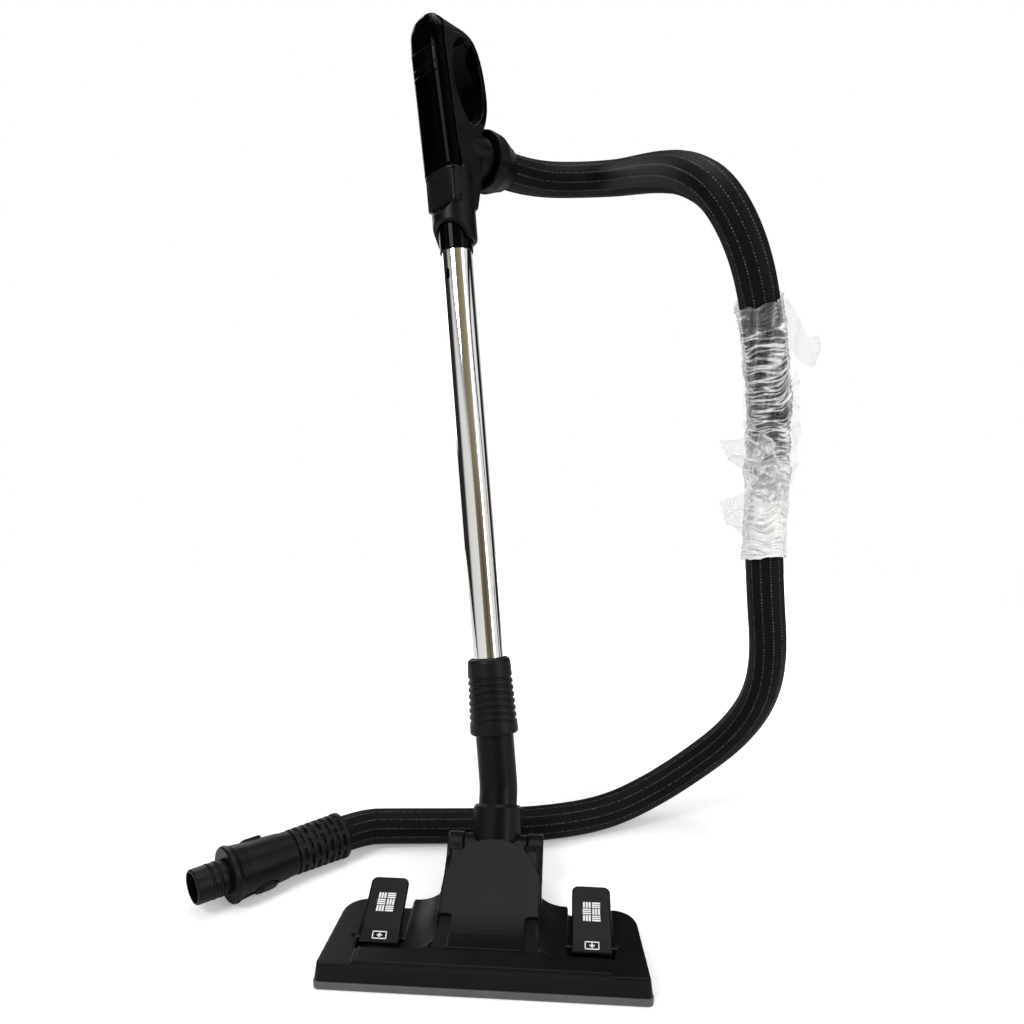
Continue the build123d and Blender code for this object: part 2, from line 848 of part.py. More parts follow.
with BuildPart() as grip_blank:
    with BuildSketch(handle_profile) as grip_side:
        with BuildLine():
            Line((-19, 16), cover_low)
            Line(cover_low, cover_high)
            Spline(cover_high, (-26.0, 204), (-14, 215.5), tangents=[cover_lean, (1, 0.2)])
            Spline(
                (-14, 215.5),
                (8, 215),
                (24, 210),
                (37, 199),
                (44.5, 182),
                (48.3, 160),
                (48.6, 136),
                (43.5, 116),
                (35.5, 98),
                (31, 60),
                (19, 16),
                tangents=[(1, 0.2), (-0.3, -1)],
            )
            Line((19, 16), (-19, 16))
        make_face()
    extrude(amount=handle_half_low + 1, both=True)
    with BuildSketch(handle_front):
        with BuildLine():
            Line((-handle_half_low, 10), (handle_half_low, 10))
            Line((handle_half_low, 10), (top_radius, handle_top - top_radius))
            ThreePointArc(
                (top_radius, handle_top - top_radius),
                (0, handle_top),
                (-top_radius, handle_top - top_radius),
            )
            Line((-top_radius, handle_top - top_radius), (-handle_half_low, 10))
        make_face()
    extrude(amount=90, both=True, mode=Mode.INTERSECT)
    curved = grip_blank.edges().filter_by(GeomType.BSPLINE)
    rims = curved.filter_by(lambda edge: abs((edge.center() - socket_mouth).dot(handle_side)) > 5)
    fillet(rims, 6.0)
    with BuildSketch(handle_profile):
        with BuildLine():
            Spline(*opening_points, periodic=True)
        make_face()
    extrude(amount=60, both=True, mode=Mode.SUBTRACT)

button_low = 9.0
button_high = 53.6
button_half = 17.0
button_reach = 25.2
button_hinge = (-15.5, 50.0)
latch_pin_radius = 1.2
button_gap = 0.6
button_back = 21.2
pocket_front = 18.2


def button_prism(gap, near, far):
    """The latch button's U-shaped outline as a prism, from near to far in front of the axis."""
    half = button_half + gap
    with BuildPart() as prism:
        with BuildSketch(handle_front.offset(near)):
            with BuildLine():
                Line((-half, button_high + gap), (half, button_high + gap))
                Line((half, button_high + gap), (half, button_low + button_half))
                ThreePointArc(
                    (half, button_low + button_half),
                    (0, button_low - gap),
                    (-half, button_low + button_half),
                )
                Line((-half, button_low + button_half), (-half, button_high + gap))
            make_face()
        extrude(amount=far - near)
    return prism.part


with BuildPart() as handle_body:
    add(grip_blank.part)
    add(cap_zone(), mode=Mode.SUBTRACT)
    # Lower socket for the wand
    add(
        turned(
            handle_section,
            [
                (0, -socket_drop),
                (socket_radius - 2.4, -socket_drop),
                (socket_radius, 2.4 - socket_drop),
                (socket_radius, socket_height - 6),
                (socket_radius - 3.0, socket_height + 4),
                (0, socket_height + 8),
            ],
        )
    )
    # Air way that bends from the wand to the hose
    with BuildLine() as air_way:
        FilletPolyline(
            socket_mouth + wand_axis * 20,
            elbow_turn,
            elbow_turn + exit_direction * (cuff_start + 3.0),
            radius=38.0,
        )
    with BuildSketch(Plane(origin=socket_mouth + wand_axis * 20, z_dir=wand_axis)):
        Circle(elbow_radius)
    sweep(path=air_way.line)
    add(
        turned(
            exit_section,
            [
                (0, cuff_start - 7.0),
                (elbow_radius + 2.5, cuff_start - 7.0),
                (elbow_radius + 2.5, cuff_start - 2.0),
                (elbow_radius, cuff_start - 2.0),
                (elbow_radius, hose_start),
                (0, hose_start),
            ],
        )
    )
    # Front of the socket is scooped at its mouth
    with BuildSketch(handle_profile):
        with Locations((-socket_radius - 4.0, -socket_drop - 8.0)):
            Circle(26.0)
    extrude(amount=40, both=True, mode=Mode.SUBTRACT)
    # Bore of the socket
    with BuildSketch(Plane(origin=socket_mouth - wand_axis * (socket_drop + 1), z_dir=wand_axis)):
        Circle(collar_tube_radius + running_gap)
    extrude(amount=socket_drop + 24.0, mode=Mode.SUBTRACT)
    with BuildSketch(Plane(origin=socket_mouth, z_dir=wand_axis)):
        Circle(tube_radius + running_gap)
    extrude(amount=tube_insertion, mode=Mode.SUBTRACT)
    # Pocket of the latch button, with the window for its hook
    add(button_prism(button_gap, pocket_front, 40.0), mode=Mode.SUBTRACT)
    with BuildSketch(handle_profile):
        with Locations((-18.0, button_hinge[1] - 2.0)):
            Rectangle(12.0, 12.0)
    extrude(amount=button_half + button_gap, both=True, mode=Mode.SUBTRACT)
    with BuildSketch(handle_profile):
        with Locations(button_hinge):
            Circle(latch_pin_radius)
    extrude(amount=19.0, both=True, mode=Mode.SUBTRACT)
    add(front_zone(cover_depth), mode=Mode.SUBTRACT)
save(handle_body.part, "handle_body")

cover_plane = Plane(
    origin=socket_mouth + handle_back * cover_low[0] + wand_axis * cover_low[1],
    x_dir=handle_side,
    z_dir=-handle_back * cover_lean.Y + wand_axis * cover_lean.X,
)
slider_half = 7.5
slider_low = 91.0
slider_length = 30.0
slider_travel = 8.0

with BuildPart() as front_cover:
    add(grip_blank.part)
    add(front_zone(cover_depth), mode=Mode.INTERSECT)
    # Recessed track of the air slider
    with BuildSketch(cover_plane):
        with Locations((0, slider_low + (slider_length - slider_travel) / 2)):
            SlotOverall(
                slider_length + slider_travel + 1.0, 2 * slider_half + 0.8, rotation=90
            )
    extrude(amount=-1.2, mode=Mode.SUBTRACT)
    with BuildSketch(cover_plane):
        with Locations((0, slider_low + (slider_length - slider_travel) / 2)):
            SlotOverall(slider_travel + 5.4, 4.4, rotation=90)
    extrude(amount=-cover_depth - 1, mode=Mode.SUBTRACT)
save(front_cover.part, "front_cover")

with BuildPart() as air_slider:
    with BuildSketch(cover_plane.offset(-1.1)):
        with Locations((0, slider_low + slider_length / 2)):
            SlotOverall(slider_length, 2 * slider_half, rotation=90)
    extrude(amount=1.3)
    with BuildSketch(cover_plane.offset(0.2)):
        with Locations((0, slider_low + slider_length / 2)):
            Circle(1.6)
    extrude(amount=0.7, taper=20)
    with BuildSketch(cover_plane.offset(-4.6)):
        with Locations((0, slider_low + slider_length / 2)):
            Circle(1.9)
    extrude(amount=3.6)
save(air_slider.part, "air_slider")

with BuildPart() as top_cap:
    add(grip_blank.part)
    add(cap_zone(), mode=Mode.INTERSECT)
    add(front_zone(cover_depth), mode=Mode.SUBTRACT)
save(top_cap.part, "top_cap")

lining_thickness = 1.4
lining_half = 13.0


def moved_inwards(points, depth):
    """A closed clockwise row of points, each moved inwards square to its two neighbours."""
    moved = []
    for before, point, after in zip(points[-1:] + points[:-1], points, points[1:] + points[:1]):
        along = Vector(after) - Vector(before)
        inwards = Vector(along.Y, -along.X).normalized()
        moved.append(Vector(point) + inwards * depth)
    return moved


with BuildPart() as grip_lining:
    with BuildSketch(handle_profile.offset(-lining_half)):
        with BuildLine():
            Spline(*opening_points, periodic=True)
        make_face()
        # What is left is a thin band round the opening, at the back of the loop only
        with BuildLine():
            Spline(*moved_inwards(opening_points, lining_thickness), periodic=True)
        make_face(mode=Mode.SUBTRACT)
        with BuildLine():
            Polyline((16, 220), (90, 220), (90, 100), (30, 100), (16, 150), close=True)
        make_face(mode=Mode.INTERSECT)
    extrude(amount=2 * lining_half)
save(grip_lining.part, "grip_lining")

# ---------------------------------------------------------------- wand latch
ridge_count = 11


def button_side():
    """Side outline of the latch button, with a ridged thumb face that bulges forwards."""
    points = [(-12.5, button_high - 0.4), (-20.0, button_high - 0.4)]
    ridge_pitch = 34.0 / ridge_count
    for number in range(ridge_count):
        level = button_high - 3.0 - number * ridge_pitch
        share = 2 * (button_high - level) / (button_high - button_low) - 1
        crest = -button_reach + 2.2 * share * share
        points += [(crest + 0.45, level), (crest, level - 0.6 * ridge_pitch)]
    points += [(-23.2, button_low + 2.0), (-22.6, button_low - 2.0)]
    points += [(-button_back, button_low - 2.0), (-button_back, button_high - 12.0)]
    points += [(-12.5, button_high - 7.6)]
    return points


with BuildPart() as wand_latch:
    with BuildSketch(handle_profile):
        with BuildLine():
            Polyline(*button_side(), close=True)
        make_face()
        with Locations(button_hinge):
            Circle(latch_pin_radius + running_gap, mode=Mode.SUBTRACT)
    extrude(amount=40, both=True)
    add(button_prism(0.0, 5.0, 40.0), mode=Mode.INTERSECT)
    with BuildSketch(Plane(origin=socket_mouth, z_dir=wand_axis)):
        Circle(button_reach)
    extrude(amount=80, mode=Mode.INTERSECT)
    with BuildSketch(Plane(origin=socket_mouth, z_dir=wand_axis)):
        Circle(socket_radius - 5.0)
    extrude(amount=button_high - 9.6, mode=Mode.SUBTRACT)
save(wand_latch.part, "wand_latch")

with BuildPart() as latch_pin:
    with BuildSketch(
        Plane(
            origin=socket_mouth + handle_back * button_hinge[0] + wand_axis * button_hinge[1],
            z_dir=handle_side,
        )
    ):
        Circle(latch_pin_radius)
    extrude(amount=19.0, both=True)
save(latch_pin.part, "latch_pin")

# ---------------------------------------------------------------- hose cuff
cuff_end = cuff_start + cuff_length
cuff_outline = [
    (elbow_radius + running_gap, cuff_start + 9.0),
    (elbow_radius + 4.5, cuff_start + 9.0),
    (elbow_radius + 4.5, cuff_start + 2.4),
    (cuff_mouth_radius - 1.6, cuff_start),
    (cuff_mouth_radius, cuff_start + 1.4),
    (cuff_mouth_radius - 0.6, cuff_start + 14.0),
    (cuff_end_radius + 1.2, cuff_end - 8.0),
    (cuff_end_radius - 0.4, cuff_end - 2.4),
    (cuff_end_radius - 2.6, cuff_end),
    (elbow_radius + running_gap, cuff_end),
]
save(turned(exit_section, cuff_outline), "hose_cuff")

# ---------------------------------------------------------------- hose
hose_exit = elbow_turn + exit_direction * hose_start
floor_level = hose_radius + floor_gap
bellows_centre = (-176.0, 146.0, 25.4)
connector_turn = 43.8
connector_lift = 2.0
connector_axis = Vector(
    -cos(radians(connector_turn)) * cos(radians(connector_lift)),
    -sin(radians(connector_turn)) * cos(radians(connector_lift)),
    sin(radians(connector_lift)),
)
hose_route = [
    tuple(hose_exit),
    tuple(hose_exit + exit_direction * 32),
    (26, 452, 738),
    (74, 462, 740),
    (113, 432, 737),
    (132, 372, 730),
    (150, 300, 720),
    (171, 238, 708),
    (198, 201, 684),
    (230, 201, 630),
    (253, 224, 560),
    (268, 242, 494),
    (274, 247, 424),
    (274, 239, 364),
    (278, 222, 298),
    (287, 211, 226),
    (284, 224, 170),
    (262, 243, 118),
    (224, 252, 76),
    (176, 248, 40),
    (120, 226, floor_level),
    (50, 198, floor_level),
    (-20, 187, floor_level),
    (-78, 182, floor_level),
    (-124, 176, 21.2),
    tuple(Vector(bellows_centre) - connector_axis * 31),
    bellows_centre,
]


def bend_radii(route):
    """The largest radius each corner of a hose route allows."""
    radii = []
    for before, corner, after in zip(route, route[1:], route[2:]):
        arriving = Vector(corner) - Vector(before)
        leaving = Vector(after) - Vector(corner)
        half_turn = radians(arriving.get_angle(leaving)) / 2
        radii.append(0.45 * min(arriving.length, leaving.length) / tan(half_turn))
    return radii


hose_radii = bend_radii(hose_route)
with BuildPart() as hose_tube:
    with BuildLine() as hose_line:
        FilletPolyline(*hose_route, radius=hose_radii)
    with BuildSketch(Plane(origin=hose_line.line @ 0, z_dir=hose_line.line % 0)):
        Circle(hose_radius)
    sweep()
hose_length = hose_line.wire().length
print("hose corner radii, mm:", [round(radius) for radius in hose_radii])
print("hose length, mm:", round(hose_length, 1))
print("hose volume share:", round(hose_tube.part.volume / (3.14159265 * hose_radius**2 * hose_length), 4))
save(hose_tube.part, "hose_tube")

# Clear film wound on the hanging part of the hose
film_first = 10
film_last = 14
film_start = (Vector(hose_route[film_first - 1]) + Vector(hose_route[film_first])) / 2
film_end = (Vector(hose_route[film_last - 1]) + Vector(hose_route[film_last])) / 2
with BuildPart() as film_wrap:
    with BuildLine() as film_line:
        FilletPolyline(
            film_start,
            *hose_route[film_first:film_last],
            film_end,
            radius=hose_radii[film_first - 1 : film_last - 1],
        )
    with BuildSketch(Plane(origin=film_line.line @ 0, z_dir=film_line.line % 0)):
        Circle(hose_radius + film_gap + film_thickness)
        Circle(hose_radius + film_gap, mode=Mode.SUBTRACT)
    sweep()
save(film_wrap.part, "film_wrap")

# ---------------------------------------------------------------- strain relief
rib_count = 7
connector_side = Vector(-connector_axis.Y, connector_axis.X, 0).normalized()
bellows_section = section_plane(Vector(bellows_centre), connector_axis, connector_side)


def bellows_outline():
    """Outline of the strain relief: a thick end rim, then seven soft ribs."""
    core = hose_radius + 1.4
    points = [(0, 0), (bellows_radius, 0), (bellows_radius + 0.4, 2.2), (bellows_radius, 4.4)]
    pitch = (bellows_length - 8.0) / rib_count
    for number in range(rib_count):
        start = 4.4 + number * pitch
        points += [
            (core, start + 0.6),
            (core, start + 0.42 * pitch),
            (bellows_radius - 0.4, start + 0.5 * pitch),
            (bellows_radius - 0.4, start + 0.96 * pitch),
        ]
    points += [(core, bellows_length - 3.0), (core, bellows_length), (0, bellows_length)]
    return points


with BuildPart() as strain_relief:
    add(turned(bellows_section, bellows_outline()))
save(strain_relief.part, "strain_relief")

# ---------------------------------------------------------------- connector
connector_start = Vector(bellows_centre) + connector_axis * bellows_length
connector_section = section_plane(connector_start, connector_axis, connector_side)
seal_rows = (9.5, 17.0)
seal_depth = 1.6
spigot_end = connector_length + spigot_length

with BuildPart() as connector_body:
    add(
        turned(
            connector_section,
            [
                (0, 0.3),
                (connector_radius - 4.0, 0.3),
                (connector_radius - 2.6, 1.6),
                (connector_radius - 2.2, 12.0),
                (connector_radius - 1.6, 12.0),
                (connector_radius - 0.4, 30.0),
                (connector_radius + 0.8, 52.0),
                (foot_radius - 1.6, 63.0),
                (foot_radius, 67.0),
                (foot_radius, 70.5),
                (foot_radius - 1.4, connector_length),
                (spigot_radius - 2.0, connector_length),
                (spigot_radius - 2.0, connector_length - 14.0),
                (0, connector_length - 14.0),
            ],
        )
    )
    # Pockets of the two latch buttons, on opposite sides
    latch_up = (Vector(0, 0, 1) - connector_axis * connector_axis.Z).normalized()
    latch_out = (latch_up * sin(radians(42)) - connector_side * cos(radians(42))).normalized()
    for sense in (1, -1):
        latch_plane = Plane(
            origin=connector_start, x_dir=connector_axis, z_dir=latch_out * sense
        )
        with BuildSketch(latch_plane.offset(15.0)):
            with Locations((38.0, 0)):
                RectangleRounded(25.0, 21.0, 7.0)
            with Locations((60.0, 0)):
                Rectangle(22.0, 12.0)
        extrude(amount=20, mode=Mode.SUBTRACT)
save(connector_body.part, "connector_body")


def latch_button(sense):
    """One latch: a rounded pad with a thumb ridge, an arm and a hook beside the spigot."""
    latch_plane = Plane(origin=connector_start, x_dir=connector_axis, z_dir=latch_out * sense)
    reach = connector_radius + 1.2
    with BuildPart() as latch:
        with BuildSketch(latch_plane.offset(18.4)):
            with Locations((38.0, 0)):
                RectangleRounded(23.4, 19.4, 6.4)
        extrude(amount=reach - 18.4)
        chamfer(latch.faces().sort_by(Axis(connector_start, latch_out * sense))[-1].edges(), 0.9)
        with BuildSketch(latch_plane.offset(reach)):
            with Locations((43.0, 0)):
                SlotOverall(12.0, 2.2, rotation=90)
        extrude(amount=0.9)
        with BuildSketch(latch_plane.offset(18.4)):
            with Locations((60.0, 0)):
                Rectangle(21.0, 10.6)
        extrude(amount=4.0)
        with BuildSketch(latch_plane.offset(18.4)):
            with Locations((67.5, 0)):
                Rectangle(6.0, 10.6)
        extrude(amount=8.4, taper=8)
    return latch.part


save(latch_button(1), "latch_button_upper")
save(latch_button(-1), "latch_button_lower")

with BuildPart() as connector_spigot:
    outline = [
        (0, connector_length - 14.0),
        (spigot_radius - 2.0, connector_length - 14.0),
        (spigot_radius - 2.0, connector_length),
        (spigot_radius, connector_length),
    ]
    for row in seal_rows:
        outline += [
            (spigot_radius, connector_length + row - 1.5),
            (spigot_radius - seal_depth, connector_length + row - 1.5),
            (spigot_radius - seal_depth, connector_length + row + 1.5),
            (spigot_radius, connector_length + row + 1.5),
        ]
    outline += [
        (spigot_radius, spigot_end - 1.2),
        (spigot_radius - 1.2, spigot_end),
        (spigot_bore, spigot_end),
        (spigot_bore, connector_length - 8.0),
        (0, connector_length - 8.0),
    ]
    add(turned(connector_section, outline))
save(connector_spigot.part, "connector_spigot")

with BuildPart() as seal_rings:
    for row in seal_rows:
        middle = connector_length + row
        add(
            turned(
                connector_section,
                [
                    (spigot_radius - seal_depth, middle - 1.3),
                    (spigot_radius + 0.1, middle - 1.0),
                    (spigot_radius + 0.5, middle),
                    (spigot_radius + 0.1, middle + 1.0),
                    (spigot_radius - seal_depth, middle + 1.3),
                ],
            )
        )
save(seal_rings.part, "seal_rings")
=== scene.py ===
"""Looks of the vacuum wand set: floor head, chrome tube, loop handle, woven hose and its connector."""

import json
import math

import bmesh
import bpy
import numpy as np
from mathutils import Matrix, Vector, noise


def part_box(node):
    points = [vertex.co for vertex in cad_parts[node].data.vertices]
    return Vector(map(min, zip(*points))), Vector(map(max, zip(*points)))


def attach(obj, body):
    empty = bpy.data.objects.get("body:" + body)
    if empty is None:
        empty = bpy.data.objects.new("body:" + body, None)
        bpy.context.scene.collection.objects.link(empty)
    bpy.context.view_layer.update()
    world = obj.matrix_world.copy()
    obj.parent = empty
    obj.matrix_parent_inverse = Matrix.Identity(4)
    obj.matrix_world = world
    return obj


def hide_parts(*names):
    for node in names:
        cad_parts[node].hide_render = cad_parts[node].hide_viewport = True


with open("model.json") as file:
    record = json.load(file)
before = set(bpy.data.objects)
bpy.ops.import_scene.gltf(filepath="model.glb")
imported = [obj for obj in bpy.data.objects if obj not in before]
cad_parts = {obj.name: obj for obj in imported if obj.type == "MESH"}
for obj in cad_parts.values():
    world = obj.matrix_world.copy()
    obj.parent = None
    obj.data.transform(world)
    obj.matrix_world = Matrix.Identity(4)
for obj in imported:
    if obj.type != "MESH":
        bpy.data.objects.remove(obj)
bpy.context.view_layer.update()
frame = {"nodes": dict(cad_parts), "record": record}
MM = 0.001


# ---------------------------------------------------------------- small helpers
def bare_tree(name):
    """A new material whose tree holds only an output."""
    material = bpy.data.materials.new(name)
    material.use_nodes = True
    tree = material.node_tree
    tree.nodes.clear()
    return material, tree, tree.nodes.new("ShaderNodeOutputMaterial")


def node_tree(name):
    """A new material whose tree holds a Principled shader, linked to its output."""
    material, tree, output = bare_tree(name)
    shader = tree.nodes.new("ShaderNodeBsdfPrincipled")
    tree.links.new(shader.outputs["BSDF"], output.inputs["Surface"])
    return material, tree, shader


def add_node(tree, kind, **settings):
    """A node with its settings and its unlinked inputs given by name."""
    node = tree.nodes.new(kind)
    for key, value in settings.items():
        if hasattr(node, key):
            setattr(node, key, value)
        else:
            node.inputs[key.replace("_", " ")].default_value = value
    return node


def math_node(tree, operation, first, second=None, third=None):
    """A Math node; each operand is a socket or a number. Returns its output."""
    node = tree.nodes.new("ShaderNodeMath")
    node.operation = operation
    for index, value in enumerate((first, second, third)):
        if value is None:
            continue
        if isinstance(value, (int, float)):
            node.inputs[index].default_value = value
        else:
            tree.links.new(value, node.inputs[index])
    return node.outputs[0]


def ramp(tree, factor, stops):
    """A colour ramp from (position, grey or colour) pairs."""
    node = tree.nodes.new("ShaderNodeValToRGB")
    elements = node.color_ramp.elements
    while len(elements) < len(stops):
        elements.new(0.5)
    for element, (position, value) in zip(elements, stops):
        element.position = position
        colour = (value, value, value) if isinstance(value, (int, float)) else value
        element.color = (*colour, 1.0)
    tree.links.new(factor, node.inputs["Fac"])
    return node.outputs["Color"]


def object_noise(tree, scale, detail=2.0, roughness=0.5, stretch=None):
    """Noise in the piece's own coordinates, in features per metre."""
    place = tree.nodes.new("ShaderNodeTexCoord")
    source = place.outputs["Object"]
    if stretch is not None:
        mapping = tree.nodes.new("ShaderNodeMapping")
        mapping.inputs["Scale"].default_value = stretch
        tree.links.new(source, mapping.inputs["Vector"])
        source = mapping.outputs["Vector"]
    texture = tree.nodes.new("ShaderNodeTexNoise")
    texture.inputs["Scale"].default_value = scale
    texture.inputs["Detail"].default_value = detail
    texture.inputs["Roughness"].default_value = roughness
    tree.links.new(source, texture.inputs["Vector"])
    return texture.outputs["Fac"]


def moulded(name, dark, light, low, high, grain, edge=0.7, edge_lighten=0.5, shine=0.3):
    """Moulded plastic or rubber: mottled colour, spark-eroded grain, rounded edges, and a lighter grey
    along every edge and corner.
    """
    material, tree, shader = node_tree(name)
    blotch = object_noise(tree, 34.0, 3.0)
    fine = object_noise(tree, 2600.0, 1.0)
    colour = ramp(tree, blotch, [(0.3, dark), (0.7, light)])
    corner = add_node(tree, "ShaderNodeBevel", samples=4, Radius=edge * MM)
    plain = tree.nodes.new("ShaderNodeNewGeometry")
    turn = tree.nodes.new("ShaderNodeVectorMath")
    turn.operation = "DOT_PRODUCT"
    tree.links.new(corner.outputs["Normal"], turn.inputs[0])
    tree.links.new(plain.outputs["Normal"], turn.inputs[1])
    # Lighter grey wherever the bevelled normal turns from the face's own, on convex and concave edges
    # alike
    edge_lightening = math_node(tree, "MULTIPLY", math_node(tree, "SUBTRACT", 1.0, turn.outputs["Value"]), edge_lighten)
    edge_lightening = math_node(tree, "MINIMUM", math_node(tree, "MULTIPLY", edge_lightening, blotch), 0.25)
    blend = tree.nodes.new("ShaderNodeMix")
    blend.data_type = "RGBA"
    tree.links.new(edge_lightening, blend.inputs["Factor"])
    tree.links.new(colour, blend.inputs["A"])
    blend.inputs["B"].default_value = (0.16, 0.16, 0.165, 1.0)
    tree.links.new(blend.outputs["Result"], shader.inputs["Base Color"])
    rough = ramp(tree, blotch, [(0.25, low), (0.75, high)])
    tree.links.new(rough, shader.inputs["Roughness"])
    bump = add_node(tree, "ShaderNodeBump", Strength=grain, Distance=0.05 * MM)
    tree.links.new(fine, bump.inputs["Height"])
    tree.links.new(corner.outputs["Normal"], bump.inputs["Normal"])
    tree.links.new(bump.outputs["Normal"], shader.inputs["Normal"])
    shader.inputs["Specular IOR Level"].default_value = shine
    return material


def chrome(name):
    """Plated tube: mirror-like, with faint lengthwise hairlines and a warm cast."""
    material, tree, shader = node_tree(name)
    hair = object_noise(tree, 900.0, 2.0, stretch=(1.0, 1.0, 0.02))
    cloud = object_noise(tree, 12.0, 2.0)
    colour = ramp(tree, cloud, [(0.3, (0.78, 0.76, 0.735)), (0.7, (0.83, 0.82, 0.81))])
    tree.links.new(colour, shader.inputs["Base Color"])
    rough = ramp(tree, hair, [(0.3, 0.045), (0.75, 0.085)])
    tree.links.new(rough, shader.inputs["Roughness"])
    shader.inputs["Metallic"].default_value = 1.0
    bump = add_node(tree, "ShaderNodeBump", Strength=0.03, Distance=0.02 * MM)
    tree.links.new(hair, bump.inputs["Height"])
    tree.links.new(bump.outputs["Normal"], shader.inputs["Normal"])
    return material


def plated(name, dark=(0.42, 0.42, 0.43), light=(0.56, 0.56, 0.57)):
    """Plated steel of pins and screws."""
    material, tree, shader = node_tree(name)
    grain = object_noise(tree, 700.0, 3.0)
    colour = ramp(tree, grain, [(0.3, dark), (0.7, light)])
    tree.links.new(colour, shader.inputs["Base Color"])
    tree.links.new(ramp(tree, grain, [(0.2, 0.28), (0.8, 0.42)]), shader.inputs["Roughness"])
    shader.inputs["Metallic"].default_value = 1.0
    return material


def pile(name, dark, light):
    """Short fibres: lint pile and bristles."""
    material, tree, shader = node_tree(name)
    fibre = object_noise(tree, 2200.0, 4.0, 0.7)
    colour = ramp(tree, fibre, [(0.35, dark), (0.65, light)])
    tree.links.new(colour, shader.inputs["Base Color"])
    shader.inputs["Roughness"].default_value = 0.9
    bump = add_node(tree, "ShaderNodeBump", Strength=0.9, Distance=0.4 * MM)
    tree.links.new(fibre, bump.inputs["Height"])
    tree.links.new(bump.outputs["Normal"], shader.inputs["Normal"])
    return material


satin = moulded("satin_black_plastic", 0.0022, 0.004, 0.32, 0.4, 0.12, edge_lighten=0.35, shine=0.13)
matt = moulded("matt_black_plastic", 0.005, 0.008, 0.5, 0.6, 0.2, edge_lighten=0.3, shine=0.2)
soft = moulded("soft_black_rubber", 0.003, 0.005, 0.36, 0.46, 0.16, edge=0.9, edge_lighten=0.2, shine=0.17)
gloss = moulded("gloss_black_plastic", 0.0006, 0.0012, 0.06, 0.1, 0.0, edge=0.5, edge_lighten=0.1, shine=0.06)
grey = moulded("grey_rubber", 0.09, 0.115, 0.5, 0.62, 0.2, edge=0.6, edge_lighten=0.2)
mirror = chrome("plated_tube")
zinc = plated("zinc_steel")
blackened = plated("blackened_steel", (0.012, 0.012, 0.013), (0.03, 0.03, 0.032))
lint = pile("lint_pile", (0.07, 0.07, 0.075), (0.16, 0.16, 0.17))
bristle = pile("bristles", (0.02, 0.02, 0.022), (0.07, 0.07, 0.075))

BY_SLOT = {
    "satin_black": satin,
    "sole_black": matt,
    "gloss_black": gloss,
    "soft_black": soft,
    "grey_rubber": grey,
    "zinc_steel": zinc,
    "chrome_tube": mirror,
    "lint_pile": lint,
    "bristle": bristle,
}
slot_of = {entry["node"]: entry["material_slot"] for entry in frame["record"]["subparts"]}
BY_NODE = {"pedal_shaft": blackened}
for node_name, cad in frame["nodes"].items():
    chosen = BY_NODE.get(node_name, BY_SLOT.get(slot_of[node_name], satin))
    cad.data.materials.clear()
    cad.data.materials.append(chosen)


# ---------------------------------------------------------------- camera
CAMERA_PLACE = Vector((0.0561, -0.6693, 0.5442))
YAW, PITCH, ROLL = math.radians(3.18), math.radians(16.5), math.radians(0.75)
FOCAL_SHARE = 850 / 1024
AXIS_BELOW_MIDDLE = 88 / 1024

forward = Vector(
    (-math.sin(YAW) * math.cos(PITCH), math.cos(YAW) * math.cos(PITCH), -math.sin(PITCH))
)
level_right = Vector((math.cos(YAW), math.sin(YAW), 0.0))
level_down = forward.cross(level_right)
right = level_right * math.cos(ROLL) - level_down * math.sin(ROLL)
up = -forward.cross(right)
lens = bpy.data.cameras.new("camera")
lens.sensor_width = 36.0
lens.lens = 36.0 * FOCAL_SHARE
lens.shift_y = AXIS_BELOW_MIDDLE
lens.clip_start = 0.01
lens.clip_end = 50.0
camera = bpy.data.objects.new("camera", lens)
bpy.context.scene.collection.objects.link(camera)
turn = Matrix((right, up, -forward)).transposed().to_4x4()
camera.matrix_world = Matrix.Translation(CAMERA_PLACE) @ turn
bpy.context.scene.camera = camera


# ---------------------------------------------------------------- mesh helpers
def make_object(name, vertices, faces, material, smooth=True):
    """A mesh object from plain lists."""
    mesh = bpy.data.meshes.new(name)
    mesh.from_pydata([tuple(v) for v in vertices], [], faces)
    mesh.update()
    if smooth:
        for polygon in mesh.polygons:
            polygon.use_smooth = True
    mesh.materials.append(material)
    item = bpy.data.objects.new(name, mesh)
    bpy.context.scene.collection.objects.link(item)
    return item


def spline_points(route, name):
    """The points of the smooth NURBS line that has the route as its control points."""
    data = bpy.data.curves.new(name, "CURVE")
    data.dimensions = "3D"
    data.resolution_u = 24
    line = data.splines.new("NURBS")
    line.points.add(len(route) - 1)
    for point, place in zip(line.points, route):
        point.co = (*place, 1.0)
    line.order_u = 3
    line.use_endpoint_u = True
    holder = bpy.data.objects.new(name, data)
    bpy.context.scene.collection.objects.link(holder)
    bpy.context.view_layer.update()
    graph = bpy.context.evaluated_depsgraph_get()
    mesh = bpy.data.meshes.new_from_object(holder.evaluated_get(graph))
    points = [v.co.copy() for v in mesh.vertices]
    bpy.data.meshes.remove(mesh)
    bpy.data.objects.remove(holder)
    bpy.data.curves.remove(data)
    return points


def even_points(points, step):
    """The same line with its points a step apart."""
    distances = [0.0]
    for first, second in zip(points, points[1:]):
        distances.append(distances[-1] + (second - first).length)
    total = distances[-1]
    count = max(2, round(total / step))
    marks = np.linspace(0.0, total, count + 1)
    columns = [np.interp(marks, distances, [p[axis] for p in points]) for axis in range(3)]
    return [Vector(row) for row in zip(*columns)], total


def carried_frames(points, first_side):
    """A side and an up direction at each point, turned as little as possible along the line."""
    frames = []
    side = first_side
    for index, point in enumerate(points):
        ahead = points[min(index + 1, len(points) - 1)] - points[max(index - 1, 0)]
        ahead.normalize()
        side = (side - ahead * side.dot(ahead)).normalized()
        frames.append((point, ahead, side, ahead.cross(side)))
    return frames


